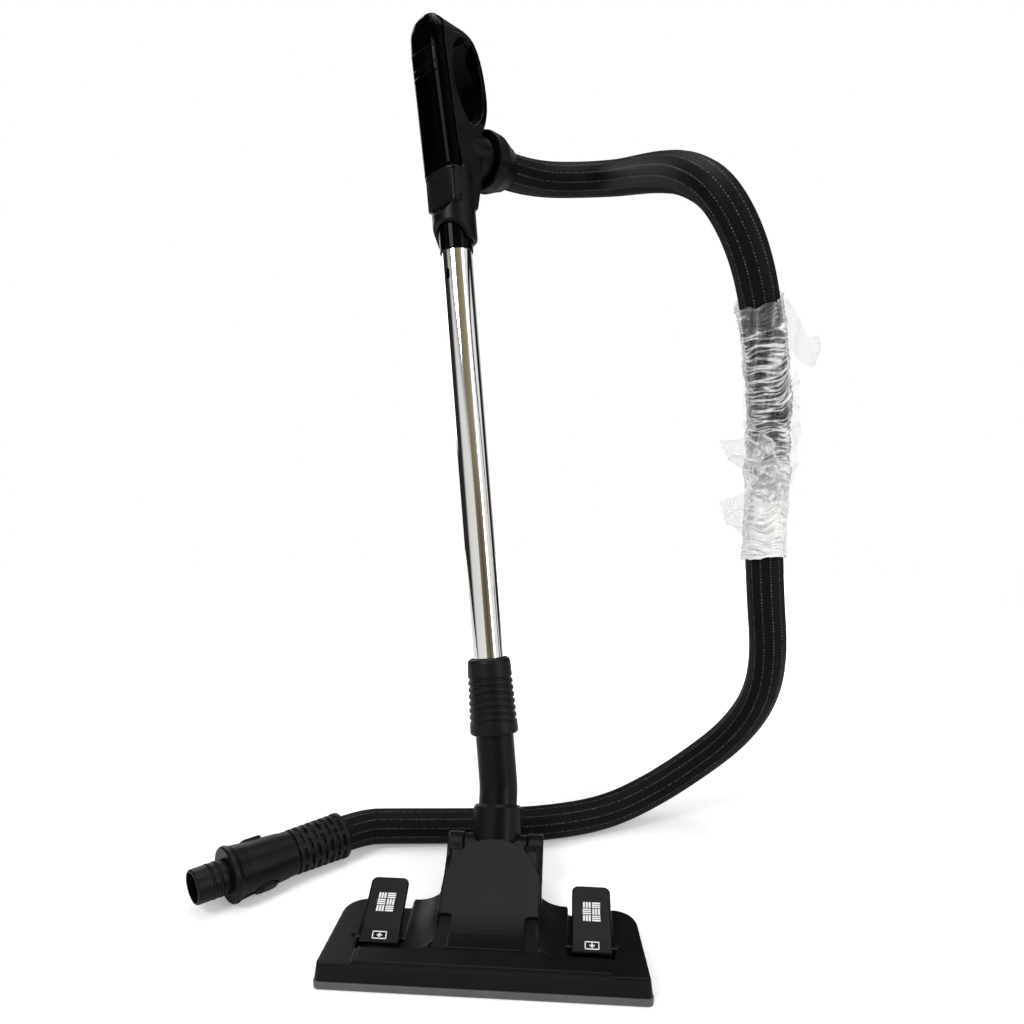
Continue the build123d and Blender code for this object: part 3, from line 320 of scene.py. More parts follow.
def tube_mesh(name, frames, around, radius_at, material):
    """A closed tube along carried frames, with radius_at(distance, angle). Keeps both as attributes."""
    vertices, along, angle_values = [], [], []
    distance = 0.0
    for index, (point, _, side, lift) in enumerate(frames):
        if index:
            distance += (point - frames[index - 1][0]).length
        for number in range(around):
            angle = 2 * math.pi * number / around
            radius = radius_at(distance, angle)
            vertices.append(point + (side * math.cos(angle) + lift * math.sin(angle)) * radius)
            along.append(distance)
            angle_values.append(number / around)
    faces = []
    for ring in range(len(frames) - 1):
        for number in range(around):
            follow = (number + 1) % around
            a = ring * around + number
            b = ring * around + follow
            faces.append((a, b, b + around, a + around))
    faces.append(tuple(reversed(range(around))))
    last = (len(frames) - 1) * around
    faces.append(tuple(last + number for number in range(around)))
    item = make_object(name, vertices, faces, material)
    # Corner attributes, so that the seam of the angle doesn't run backwards through one strip
    mesh = item.data
    lengthwise = mesh.attributes.new("lengthwise", "FLOAT", "CORNER")
    round_it = mesh.attributes.new("round_it", "FLOAT", "CORNER")
    length_list = [0.0] * len(mesh.loops)
    round_list = [0.0] * len(mesh.loops)
    for polygon in mesh.polygons:
        loops = list(polygon.loop_indices)
        angles = [angle_values[mesh.loops[loop].vertex_index] for loop in loops]
        wraps = max(angles) - min(angles) > 0.5
        for loop, angle in zip(loops, angles):
            length_list[loop] = along[mesh.loops[loop].vertex_index]
            round_list[loop] = angle + 1.0 if wraps and angle < 0.5 else angle
    lengthwise.data.foreach_set("value", length_list)
    round_it.data.foreach_set("value", round_list)
    return item


# ---------------------------------------------------------------- hose
HOSE_RADIUS = 19.75 * MM
STITCH_ROWS = 12
YARN_PITCH = 2.1 * MM
STITCH_PITCH = 3.0 * MM
RIB_DEPTH = 0.28 * MM
HOSE_ROUTE_MM = [
    (-30.693, 377.183, 739.886),
    (-11.271, 402.381, 736.451),
    (26, 452, 738),
    (74, 462, 740),
    (113, 432, 737),
    (132, 372, 730),
    (150, 300, 720),
    (171, 238, 708),
    (198, 201, 684),
    (230, 201, 630),
    (253, 224, 560),
    (268, 242, 494),
    (274, 247, 424),
    (274, 239, 364),
    (278, 222, 298),
    (287, 211, 226),
    (284, 224, 170),
    (262, 243, 118),
    (224, 252, 76),
    (176, 248, 40),
    (120, 226, 19.85),
    (50, 198, 19.85),
    (-20, 187, 19.85),
    (-78, 182, 19.85),
    (-124, 176, 21.2),
    (-153.639, 167.443, 24.318),
    (-176.0, 146.0, 25.4),
]


def woven(name):
    """Braided black sleeve: fine diagonal weave, with rows of light stitches along the hose."""
    material, tree, shader = node_tree(name)
    lengthwise = add_node(tree, "ShaderNodeAttribute", attribute_name="lengthwise").outputs["Fac"]
    round_it = add_node(tree, "ShaderNodeAttribute", attribute_name="round_it").outputs["Fac"]
    girth = 2 * math.pi * HOSE_RADIUS
    arc = math_node(tree, "MULTIPLY", round_it, girth)
    # Two sets of diagonal yarns that cross
    yarns = []
    for sense in (1.0, -1.0):
        slant = math_node(tree, "MULTIPLY_ADD", lengthwise, sense, arc)
        wave = math_node(tree, "SINE", math_node(tree, "MULTIPLY", slant, 2 * math.pi / YARN_PITCH))
        yarns.append(wave)
    weave = math_node(tree, "MULTIPLY", yarns[0], yarns[1])
    # Rows of stitches
    row = math_node(tree, "FRACT", math_node(tree, "MULTIPLY", round_it, STITCH_ROWS))
    off_row = math_node(tree, "ABSOLUTE", math_node(tree, "SUBTRACT", row, 0.5))
    on_row = math_node(tree, "LESS_THAN", off_row, 0.06)
    dash = math_node(tree, "FRACT", math_node(tree, "MULTIPLY", lengthwise, 1 / STITCH_PITCH))
    stitch = math_node(tree, "MULTIPLY", on_row, math_node(tree, "LESS_THAN", dash, 0.55))
    speckle = object_noise(tree, 420.0, 3.0)
    stitch_tone = math_node(tree, "MULTIPLY", stitch, ramp(tree, speckle, [(0.4, 0.12), (0.62, 1.0)]))
    ground = ramp(tree, math_node(tree, "MULTIPLY_ADD", weave, 0.5, 0.5), [(0.35, 0.001), (1.0, 0.009)])
    mix = tree.nodes.new("ShaderNodeMix")
    mix.data_type = "RGBA"
    tree.links.new(stitch_tone, mix.inputs["Factor"])
    tree.links.new(ground, mix.inputs["A"])
    mix.inputs["B"].default_value = (0.11, 0.11, 0.115, 1.0)
    tree.links.new(mix.outputs["Result"], shader.inputs["Base Color"])
    shader.inputs["Roughness"].default_value = 0.5
    shader.inputs["Specular IOR Level"].default_value = 0.08
    height = math_node(tree, "ADD", math_node(tree, "MULTIPLY", weave, 0.35), stitch)
    bump = add_node(tree, "ShaderNodeBump", Strength=0.6, Distance=0.25 * MM)
    tree.links.new(height, bump.inputs["Height"])
    tree.links.new(bump.outputs["Normal"], shader.inputs["Normal"])
    return material


route = [Vector(point) * MM for point in HOSE_ROUTE_MM]
hose_line, hose_length = even_points(spline_points(route, "hose_line"), 3.0 * MM)
first_side = (hose_line[1] - hose_line[0]).cross(Vector((0, 0, 1))).normalized()
hose_frames = carried_frames(hose_line, first_side)


def hose_radius(distance, angle):
    """Flat lands between the stitch rows give the sleeve its faint lengthwise ribs."""
    rib = math.cos(angle * STITCH_ROWS)
    return HOSE_RADIUS - RIB_DEPTH * (0.5 + 0.5 * rib) ** 2


hose = tube_mesh("woven_hose", hose_frames, 96, hose_radius, woven("woven_sleeve"))
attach(hose, "wand")
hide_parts("hose_tube")


# ---------------------------------------------------------------- moulded shells
joint_of = {joint["name"]: joint for joint in frame["record"]["behaviour"]["joints"]}
WAND_AXIS = Vector(joint_of["sleeve_release"]["axis"]).normalized()
HANDLE_SIDE = Vector(joint_of["latch_press"]["axis"]).normalized()
HANDLE_BACK = WAND_AXIS.cross(HANDLE_SIDE)
HOSE_EXIT = Vector(joint_of["hose_swivel"]["axis"]).normalized()
NECK_BEND = Vector(joint_of["telescope"]["pos_m"])
SOCKET_HEIGHT = 594
SOCKET_MOUTH = NECK_BEND + WAND_AXIS * SOCKET_HEIGHT * MM


def handle_place(back, up_wand, side=0.0):
    """A point of the handle: millimetres behind the wand's axis, up the wand and to its side."""
    return SOCKET_MOUTH + (HANDLE_BACK * back + WAND_AXIS * up_wand + HANDLE_SIDE * side) * MM


def handle_measure(point):
    """The same three numbers for a point."""
    offset = (point - SOCKET_MOUTH) / MM
    return offset.dot(HANDLE_BACK), offset.dot(WAND_AXIS), offset.dot(HANDLE_SIDE)


def closed_tube(points, radii, around=40):
    """Vertices and faces of a closed tube with a radius at each point, to be merged into a shell."""
    first = (points[1] - points[0]).cross(Vector((0.3, 0.9, 0.1)))
    vertices, faces = [], []
    for (point, _, side, lift), radius in zip(carried_frames(points, first), radii):
        for number in range(around):
            angle = 2 * math.pi * number / around
            vertices.append(point + (side * math.cos(angle) + lift * math.sin(angle)) * radius * MM)
    for ring in range(len(points) - 1):
        for number in range(around):
            a, b = ring * around + number, ring * around + (number + 1) % around
            faces.append((a, b, b + around, a + around))
    faces.append(tuple(reversed(range(around))))
    last = (len(points) - 1) * around
    faces.append(tuple(last + number for number in range(around)))
    return vertices, faces


def softened(node_name, body, voxel, passes, extra=(), reshape=None):
    """A copy of a CAD node with edges rounded by remeshing and smoothing, which replaces the node."""
    cad = frame["nodes"][node_name]
    build = bmesh.new()
    build.from_mesh(cad.data)
    bmesh.ops.remove_doubles(build, verts=build.verts, dist=0.01 * MM)
    for vertices, faces in extra:
        added = [build.verts.new(vertex) for vertex in vertices]
        for face in faces:
            build.faces.new([added[index] for index in face])
    mesh = bpy.data.meshes.new("moulded_" + node_name)
    build.to_mesh(mesh)
    build.free()
    item = bpy.data.objects.new("moulded_" + node_name, mesh)
    bpy.context.scene.collection.objects.link(item)
    remesh = item.modifiers.new("merge", "REMESH")
    remesh.mode = "VOXEL"
    remesh.voxel_size = voxel * MM
    rounding = item.modifiers.new("round", "SMOOTH")
    rounding.factor = 0.5
    rounding.iterations = passes
    bpy.context.view_layer.update()
    graph = bpy.context.evaluated_depsgraph_get()
    item.data = bpy.data.meshes.new_from_object(item.evaluated_get(graph))
    item.modifiers.clear()
    item.data.name = "moulded_" + node_name
    if reshape is not None:
        for vertex in item.data.vertices:
            vertex.co = reshape(vertex.co)
    for polygon in item.data.polygons:
        polygon.use_smooth = True
    item.data.materials.clear()
    item.data.materials.append(BY_SLOT[slot_of[node_name]])
    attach(item, body)
    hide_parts(node_name)
    return item


def smooth_step(value, low, high):
    """0 below low, 1 above high, and a smooth rise between them."""
    share = min(1.0, max(0.0, (value - low) / (high - low)))
    return share * share * (3 - 2 * share)


# Tubes merged into the handle where its air way bends over to the hose
AIR_WAY_LINE = ((3, -6), (8, 10), (11, 26), (12, 42), (12, 58))
AIR_WAY_RADIUS = 15.5
HOOD_REACHES = (-11, -8, -2, 6, 16, 36)
HOOD_RADII = (8, 14, 19, 21.5, 22.5, 23)
air_way = [handle_place(back, height) for back, height in AIR_WAY_LINE]
elbow = handle_place(12, 84)
hood = [elbow + HOSE_EXIT * reach * MM for reach in HOOD_REACHES]
handle_shell = softened(
    "handle_body",
    "wand",
    0.9,
    7,
    extra=[closed_tube(air_way, [AIR_WAY_RADIUS] * len(air_way)), closed_tube(hood, HOOD_RADII)],
)
softened("top_cap", "wand", 0.8, 6)
softened("front_cover", "wand", 0.8, 5)

# The grip bar is glossy behind the loop's opening
GRIP_BACK = 27
GRIP_LOW = 112
handle_shell.data.materials.append(gloss)
for polygon in handle_shell.data.polygons:
    back, up_wand, _ = handle_measure(polygon.center)
    if back > GRIP_BACK and up_wand > GRIP_LOW:
        polygon.material_index = 1

COVER_FOOT = 53.0
COVER_TIP = 214.5
COVER_WRAP = 14.0
FRONT_HEIGHTS = (0, 55, 178, 196, 206, 211, 214.5)
FRONT_BEHIND = (-16.5, -20.7, -28.3, -28.0, -25.5, -22, -16)
ARCH_START = 190
# Powers under 1 make the skin's section squarer than an ellipse
ACROSS_POWER = 0.6
BEHIND_POWER = 0.64


def front_line(up_wand):
    """How far behind the wand's axis the front of the handle lies, at a height up the wand."""
    return float(np.interp(up_wand, FRONT_HEIGHTS, FRONT_BEHIND))


def front_half(up_wand):
    """Half width of the handle at a height up the wand, with its arched top."""
    half = float(np.interp(up_wand, (10, 178, 196), (22.5, 19.6, 19.1)))
    if up_wand > ARCH_START:
        share = min(1.0, (up_wand - ARCH_START) / (COVER_TIP - ARCH_START))
        half *= math.sqrt(max(0.0, 1 - share**2.2))
    return half


def wrapped(name, heights, reach_at, proud, material, lift=None, wall=1.4):
    """A moulded skin round the front of the handle, from one flank over the front to the other."""
    around = 64
    vertices, faces = [], []
    for up_wand in heights:
        half, front = front_half(up_wand), front_line(up_wand)
        # The wrap shrinks with the width under the arched tip
        wrap = COVER_WRAP * min(1.0, half / COVER_WRAP) ** 0.5
        for step in range(around + 1):
            share = (-1 + 2 * step / around) * reach_at(up_wand)
            angle = share * math.pi / 2
            across = math.copysign(abs(math.sin(angle)) ** ACROSS_POWER, angle) * (half + proud)
            behind = front - proud + (wrap + proud) * (1 - abs(math.cos(angle)) ** BEHIND_POWER)
            raised = lift(up_wand, share) if lift else 0.0
            behind -= raised * math.cos(angle)
            across += raised * math.sin(angle)
            vertices.append(handle_place(behind, up_wand, across))
    width = around + 1
    for row in range(len(heights) - 1):
        for step in range(around):
            a = row * width + step
            faces.append((a, a + width, a + width + 1, a + 1))
    item = make_object(name, vertices, faces, material)
    thick = item.modifiers.new("wall", "SOLIDIFY")
    thick.thickness = wall * MM
    thick.offset = -1.0
    bpy.context.view_layer.update()
    graph = bpy.context.evaluated_depsgraph_get()
    item.data = bpy.data.meshes.new_from_object(item.evaluated_get(graph))
    item.modifiers.clear()
    return item


def even_heights(low, high, steps):
    """Heights up the wand from low to high, evenly spaced."""
    return [low + (high - low) * step / steps for step in range(steps + 1)]


# Even rows up the cover, then rows that close up towards its arched tip
COVER_EVEN_TO = 186
cover_heights = even_heights(COVER_FOOT, COVER_EVEN_TO, 60)
cover_heights += [COVER_TIP - (COVER_TIP - COVER_EVEN_TO) * (1 - step / 30) ** 2 for step in range(1, 31)]
cover_gloss = moulded("cover_gloss_plastic", 0.0005, 0.001, 0.05, 0.08, 0.0, edge=0.3, edge_lighten=0.1, shine=0.02)
cover_skin = wrapped("front_cover_skin", cover_heights, lambda up_wand: 1.0, 0.7, cover_gloss)
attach(cover_skin, "wand")

SLIDER_LOW = 148.0
SLIDER_HIGH = 174.0
SLIDER_REACH = 0.42


def slider_relief(up_wand, share):
    """Slider face, in millimetres: a raised rim at both ends and a step between, for the thumb."""
    from_end = min(up_wand - SLIDER_LOW, SLIDER_HIGH - up_wand)
    rim = 0.5 if from_end < 1.2 else 0.0
    step = 0.4 if SLIDER_LOW + 8 < up_wand < SLIDER_LOW + 9.4 else 0.0
    return 0.2 + max(rim, step) * smooth_step(SLIDER_REACH - abs(share), 0.0, 0.06)


slider_heights = even_heights(SLIDER_LOW, SLIDER_HIGH, 60)
slider_skin = wrapped(
    "air_slider_skin", slider_heights, lambda up_wand: SLIDER_REACH, 1.0, gloss, slider_relief
)
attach(slider_skin, "slider")
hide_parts("air_slider")

BUTTON_LOW = 15.0
BUTTON_HIGH = 51.5
BUTTON_ROUND_TO = 34
RIDGE_PITCH = 2.5
RIDGE_HEIGHT = 0.42


def button_reach(up_wand):
    """Share of the wrap that the button takes: full at its top, drawn in to a U at its foot."""
    share = min(1.0, max(0.0, (BUTTON_ROUND_TO - up_wand) / (BUTTON_ROUND_TO - BUTTON_LOW)))
    return 0.92 * math.sqrt(max(0.004, 1 - share**2.0))


def button_relief(up_wand, share):
    """Fine cross ridges, in millimetres, within a smooth rim."""
    rim = abs(share) / button_reach(up_wand)
    if rim > 0.88 or up_wand > BUTTON_HIGH - 2.5:
        return 0.85
    return 0.15 + RIDGE_HEIGHT * math.sin(2 * math.pi * up_wand / RIDGE_PITCH)


button_heights = even_heights(BUTTON_LOW, BUTTON_HIGH, 120)
button_skin = wrapped(
    "latch_button_ridged", button_heights, button_reach, 0.5, satin, button_relief, wall=0.6
)
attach(button_skin, "latch")
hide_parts("wand_latch")


# ---------------------------------------------------------------- floor head
def lowered_walls(point):
    """The stem's side walls fall away outside the dome of the neck cover."""
    y, z, beside = point.y / MM, point.z / MM, abs(point.x) / MM
    wall = smooth_step(y, 40, 58) * (1 - smooth_step(y, 80, 90)) * smooth_step(beside, 30, 34)
    top = 37.5 + (y - 36) * 0.39
    depth = 6.5 * wall * smooth_step(z, top - 16, top - 4)
    return point - Vector((0, 0, depth * MM))


def stem_ramp(side):
    """A concave fillet between the stem's wall and the wing, merged into the shell."""
    rows, width = 24, 14
    inner, outer, foot = 47, 74, 18
    front, length = -34, 73
    vertices, faces = [], []
    for row in range(rows + 1):
        y = front + length * row / rows
        rise = 2.0 + 8.5 * smooth_step(y, -30, 20)
        ring = []
        for step in range(width + 1):
            t = step / width
            ring.append((side * (inner + (outer - inner) * t), y, 26.4 + rise * (1 - t) ** 2.4))
        ring.append((side * outer, y, foot))
        ring.append((side * inner, y, foot))
        vertices += [Vector(place) * MM for place in ring]
    count = width + 3
    for row in range(rows):
        for step in range(count):
            a, b = row * count + step, row * count + (step + 1) % count
            faces.append((a, b, b + count, a + count))
    faces.append(tuple(reversed(range(count))))
    faces.append(tuple(rows * count + step for step in range(count)))
    return vertices, faces


softened(
    "head_shell", "head", 1.0, 9, extra=[stem_ramp(-1), stem_ramp(1)], reshape=lowered_walls
)
softened("neck_cover", "head", 0.7, 7)
for side in ("left", "right"):
    softened("pedal_" + side, "pedals", 0.6, 4)


# ---------------------------------------------------------------- marks on the pedals
def printed(name):
    """White printing ink, slightly uneven."""
    material, tree, shader = node_tree(name)
    wear = object_noise(tree, 900.0, 3.0)
    colour = ramp(tree, wear, [(0.3, (0.62, 0.62, 0.61)), (0.6, (0.84, 0.84, 0.83))])
    tree.links.new(colour, shader.inputs["Base Color"])
    shader.inputs["Roughness"].default_value = 0.55
    return material


ink = printed("white_ink")
PEDAL_FOLD = (-19.0, 36.5)
PEDAL_TOE = (-31.0, 30.2)
PEDAL_TIP = (33.0, 54.0)
INK_ABOVE = 0.12
INK_DEPTH = 0.3
CORNERS = ((-1, -1), (1, -1), (1, 1), (-1, 1))


def pedal_mark(name, centre_x, start, end, at, bars):
    """Printed bars on one plane of a pedal. Each bar is (x, along, width, length) in millimetres."""
    direction = Vector((0, end[0] - start[0], end[1] - start[1])).normalized()
    normal = Vector((1, 0, 0)).cross(direction)
    origin = Vector((centre_x, start[0], start[1])) + direction * at + normal * INK_ABOVE
    vertices, faces = [], []
    for x, along, width, length in bars:
        base = len(vertices)
        for drop in (0.0, INK_DEPTH):
            for sx, sy in CORNERS:
                beside = Vector((1, 0, 0)) * (x + sx * width / 2)
                flat = origin + beside + direction * (along + sy * length / 2)
                vertices.append((flat - normal * drop) * MM)
        faces.append((base, base + 1, base + 2, base + 3))
        for side in range(4):
            follow = (side + 1) % 4
            faces.append((base + side, base + 4 + side, base + 4 + follow, base + follow))
    item = make_object(name, vertices, faces, ink, smooth=False)
    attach(item, "pedals")


# Basket weave for hard floors: blocks of three bars, turned from one block to the next
weave_bars = []
for column in range(2):
    for row in range(3):
        block_x, block_y = (column - 0.5) * 8.6, (row - 1) * 7.0
        for bar in (-1, 0, 1):
            if (column + row) % 2:
                weave_bars.append((block_x, block_y + bar * 2.2, 7.6, 1.5))
            else:
                weave_bars.append((block_x + bar * 2.6, block_y, 1.8, 6.0))
frame_bars = [(0, 3.2, 13.0, 0.9), (0, -3.2, 13.0, 0.9), (-6.1, 0, 0.9, 7.3), (6.1, 0, 0.9, 7.3)]
frame_bars += [(0, 0, 4.6, 1.3), (0, 0, 1.5, 3.9)]
for name in ("left", "right"):
    low, high = (Vector(corner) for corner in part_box("pedal_" + name))
    middle = (low.x + high.x) / 2 / MM
    pedal_mark("pedal_weave_" + name, middle, PEDAL_FOLD, PEDAL_TIP, 27.0, weave_bars)
    pedal_mark("pedal_frame_" + name, middle, PEDAL_TOE, PEDAL_FOLD, 6.6, frame_bars)


# ---------------------------------------------------------------- strain relief
CONNECTOR_AXIS = Vector(joint_of["connector_swivel"]["axis"]).normalized()
CONNECTOR_START = Vector(joint_of["connector_swivel"]["pos_m"])
RELIEF_LENGTH = 58.0
RELIEF_RADIUS = 24.5
RELIEF_CORE = HOSE_RADIUS / MM + 0.9
RIBS = 7
POSTS = 8
END_RIM = 5.5
relief_start = CONNECTOR_START - CONNECTOR_AXIS * RELIEF_LENGTH * MM
relief_side = Vector((-CONNECTOR_AXIS.y, CONNECTOR_AXIS.x, 0)).normalized()
relief_lift = CONNECTOR_AXIS.cross(relief_side)


def relief_radius(along, angle):
    """Ribs joined by short posts, staggered from gap to gap. The recesses between read as windows."""
    taper = 0.9 * (1 - along / RELIEF_LENGTH)
    if along < END_RIM:
        edge = min(along, END_RIM - along)
        return RELIEF_RADIUS + taper - 0.9 * max(0.0, 1 - edge / 1.0) ** 2
    pitch = (RELIEF_LENGTH - END_RIM) / RIBS
    number = int((along - END_RIM) / pitch)
    place = (along - END_RIM) / pitch - number
    rib = smooth_step(place, 0.42, 0.5) * (1 - smooth_step(place, 0.94, 1.0))
    turn_share = angle / (2 * math.pi) * POSTS + (0.5 if number % 2 else 0.0) + 0.15
    near_post = abs(turn_share - round(turn_share))
    post = 1 - smooth_step(near_post, 0.16, 0.2)
    body = max(rib, 0.78 * post)
    return RELIEF_CORE + (RELIEF_RADIUS - 0.5 + taper - RELIEF_CORE) * body


def relief_mesh():
    """The ribbed sleeve as one mesh. Its end faces run in to the hose, which fills the middle."""
    around, steps = 224, 210
    rows = [(0.0, HOSE_RADIUS / MM + 0.1)]
    rows += [(RELIEF_LENGTH * step / steps, None) for step in range(steps + 1)]
    rows += [(RELIEF_LENGTH, HOSE_RADIUS / MM - 2)]
    vertices, faces = [], []
    for along, fixed in rows:
        centre = relief_start + CONNECTOR_AXIS * along * MM
        for number in range(around):
            angle = 2 * math.pi * number / around
            radius = fixed
            if fixed is None:
                radius = relief_radius(min(along, RELIEF_LENGTH - 0.01), angle)
            outward = relief_side * math.cos(angle) + relief_lift * math.sin(angle)
            vertices.append(centre + outward * radius * MM)
    for row in range(len(rows) - 1):
        for number in range(around):
            a, b = row * around + number, row * around + (number + 1) % around
            faces.append((a, b, b + around, a + around))
    return make_object("ribbed_strain_relief", vertices, faces, soft)


relief = relief_mesh()
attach(relief, "wand")
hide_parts("strain_relief")


# ---------------------------------------------------------------- clear film round the hose
film_low, film_high = (Vector(corner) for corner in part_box("film_wrap"))
FILM_TOP = film_high.z - 9 * MM
FILM_FOOT = film_low.z + 6 * MM


def clear_film(name):
    """Thin crumpled polythene: clear in its hollows, milky along its creases, with painted shade in the
    hollows, a painted highlight on the crests and a painted sheen at glancing angles.
    """
    material, tree, output = bare_tree(name)
    shader = tree.nodes.new("ShaderNodeBsdfPrincipled")
    shader.inputs["Roughness"].default_value = 0.14
    shader.inputs["Specular IOR Level"].default_value = 0.8
    fine = object_noise(tree, 700.0, 3.0)
    bump = add_node(tree, "ShaderNodeBump", Strength=0.4, Distance=0.4 * MM)
    tree.links.new(fine, bump.inputs["Height"])
    tree.links.new(bump.outputs["Normal"], shader.inputs["Normal"])
    clear = tree.nodes.new("ShaderNodeBsdfTransparent")
    crease_milk_and_shading = add_node(tree, "ShaderNodeAttribute", attribute_name="crease_milk_and_shading").outputs["Fac"]
    # Painted shade and highlight: dark grey in the hollows, white on the crests
    crease_shade_and_highlight = ramp(
        tree, crease_milk_and_shading, [(0.08, (0.3, 0.33, 0.35)), (0.35, (0.62, 0.65, 0.66)), (0.75, (0.95, 0.96, 0.96))]
    )
    tree.links.new(crease_shade_and_highlight, shader.inputs["Base Color"])
    # Painted sheen: the film turns milkier where it is seen at a glancing angle
    rim = add_node(tree, "ShaderNodeLayerWeight", Blend=0.25).outputs["Facing"]
    milky = math_node(tree, "MULTIPLY_ADD", rim, 0.3, crease_milk_and_shading)
    milky = math_node(tree, "MULTIPLY_ADD", fine, 0.06, milky)
    milky = math_node(tree, "MINIMUM", math_node(tree, "SUBTRACT", milky, 0.04), 0.94)
    mix = tree.nodes.new("ShaderNodeMixShader")
    tree.links.new(milky, mix.inputs["Fac"])
    tree.links.new(clear.outputs["BSDF"], mix.inputs[1])
    tree.links.new(shader.outputs["BSDF"], mix.inputs[2])
    tree.links.new(mix.outputs["Shader"], output.inputs["Surface"])
    return material


polythene = clear_film("clear_polythene")


def crumple(point, scale):
    """Ridged noise between 0 and 1: narrow crests, wide hollows."""
    first = 1.0 - min(1.0, abs(noise.noise(point * scale)) * 2.6)
    second = 1.0 - min(1.0, abs(noise.noise(point * scale * 2.3 + Vector((7, 3, 1)))) * 2.6)
    return 0.68 * first * first + 0.32 * second * second


def sheet_object(name, rows, creases, closed):
    """A sheet from rows of points, with the value of each point kept as an attribute that sets its
    milkiness, its painted shade and its painted highlight.
    """
    across = len(rows[0])
    vertices = [point for row in rows for point in row]
    faces = []
    for row in range(len(rows) - 1):
        for column in range(across if closed else across - 1):
            follow = (column + 1) % across
            a, b = row * across + column, row * across + follow
            faces.append((a, b, b + across, a + across))
    item = make_object(name, vertices, faces, polythene)
    values = item.data.attributes.new("crease_milk_and_shading", "FLOAT", "POINT")
    values.data.foreach_set("value", [value for row in creases for value in row])
    return item


film_run = [entry[0] for entry in hose_frames if FILM_FOOT <= entry[0].z <= FILM_TOP]
film_line, _ = even_points(film_run, 0.8 * MM)
film_frames = carried_frames(film_line, Vector((1, 0, 0)))


def film_sleeve():
    """The wrapped length: cross creases all round, a torn and crushed stretch, a milky lower end."""
    around, end_rows = 150, 8
    rows, creases = [], []
    last = len(film_frames) - 1
    for index, (point, ahead, side, lift) in enumerate(film_frames):
        share = index / last
        lower = min(1.0, max(0.0, (share - 0.6) / 0.12))
        torn = math.exp(-(((share - 0.6) / 0.07) ** 2))
        row, crease_shading_row = [], []
        for number in range(around):
            angle = 2 * math.pi * number / around
            outward = side * math.cos(angle) + lift * math.sin(angle)
            wrap = Vector((math.cos(angle) * 0.5, math.sin(angle) * 0.5, 0.0))
            tilt = 2.2 * noise.noise(Vector((math.cos(angle) * 0.9, math.sin(angle) * 0.9, share * 5)))
            cross = crumple(wrap + Vector((3, 5, share * 46 + 0.7 * tilt)), 1.55)
            long_fold = crumple(outward * 1.1 + Vector((share * 2.5, 11, 2)), 1.5)
            bulge = noise.noise(outward * 1.2 + Vector((0, 0, share * 11.0)))
            loose = 0.8 + 3.4 * max(0.0, bulge + 0.15) + 2.5 * torn * max(0.0, bulge + 0.3)
            end = 1.6 * max(0.0, 1 - share / 0.06) + 1.0 * max(0.0, (share - 0.95) / 0.05)
            height = loose + end + (2.3 - 0.9 * lower) * cross + 1.1 * long_fold * (0.4 + lower)
            ragged = 0.0
            if index < end_rows:
                ragged = (end_rows - index) / end_rows * 4.5 * noise.noise(outward * 2.2)
            if index > last - end_rows:
                jag = noise.noise(outward * 2.4 + Vector((5, 5, 5)))
                ragged = (index - last + end_rows) / end_rows * 3.0 * jag
            row.append(point + outward * (HOSE_RADIUS + height * MM) + ahead * ragged * MM)
            # Milkiness and painted light: crests and folds turn milky and white as a painted highlight,
            # hollows stay grey as painted shade
            milk_and_shading = 0.05 + 1.1 * cross**1.1 + 0.2 * long_fold + 0.52 * lower + 0.15 * torn
            if share < 0.09:
                milk_and_shading = 0.12 + 0.3 * long_fold + 0.2 * cross
            crease_shading_row.append(min(0.95, milk_and_shading))
        rows.append(row)
        creases.append(crease_shading_row)
    return sheet_object("film_sleeve", rows, creases, closed=True)


def film_place(share, rightward, toward, lift=0.0):
    """A point beside the wrapped hose: share of its length from the top, then offsets in millimetres."""
    point = film_frames[round(share * (len(film_frames) - 1))][0]
    return point + Vector((rightward, -toward, lift)) * MM


def smooth_at(points, share):
    """A point on the smooth line through points."""
    place = share * (len(points) - 1)
    index = min(int(place), len(points) - 2)
    before, first = points[max(index - 1, 0)], points[index]
    second, after = points[index + 1], points[min(index + 2, len(points) - 1)]
    t = place - index
    return 0.5 * (
        2 * first
        + (second - before) * t
        + (2 * before - 5 * first + 4 * second - after) * t * t
        + (3 * first - before - 3 * second + after) * t * t * t
    )


def film_flap(name, depth, seed, milky, fold, lines):
    """A loose tatter: a sheet drawn through lines, each a list of points, crumpled across itself."""
    steps_u, steps_v = 56, 44
    shift = Vector((seed * 3.1, seed * 1.7, seed * 5.3))
    rows, creases = [], []
    for v_index in range(steps_v + 1):
        v = v_index / steps_v
        row, crease_shading_row = [], []
        for u_index in range(steps_u + 1):
            u = u_index / steps_u
            ladder = [smooth_at(line, u) for line in lines]
            point = smooth_at(ladder, v)
            value = crumple(point / (fold * MM) + shift, 1.0)
            wave = noise.noise(point / (13 * MM) + shift * 2)
            out = Vector((0.35 * wave, -1.0, 0.3 * wave))
            out = out * (value - 0.4) * depth * MM * min(1.0, 4 * v)
            edge = max(0.0, v - 0.8) / 0.2
            tooth = noise.noise(Vector((u * 9 + seed, v * 2, seed))) * 3.2 * MM * edge
            row.append(point + out + Vector((tooth, 0, tooth * 0.7)))
            # Painted highlight: the tatter's edges turn milkier and whiter
            rim = 0.45 if v > 0.955 or u < 0.025 or u > 0.975 else 0.0
            crease_shading_row.append(min(0.92, milky + 0.9 * value**2.6 + rim))
        rows.append(row)
        creases.append(crease_shading_row)
    return sheet_object(name, rows, creases, closed=False)


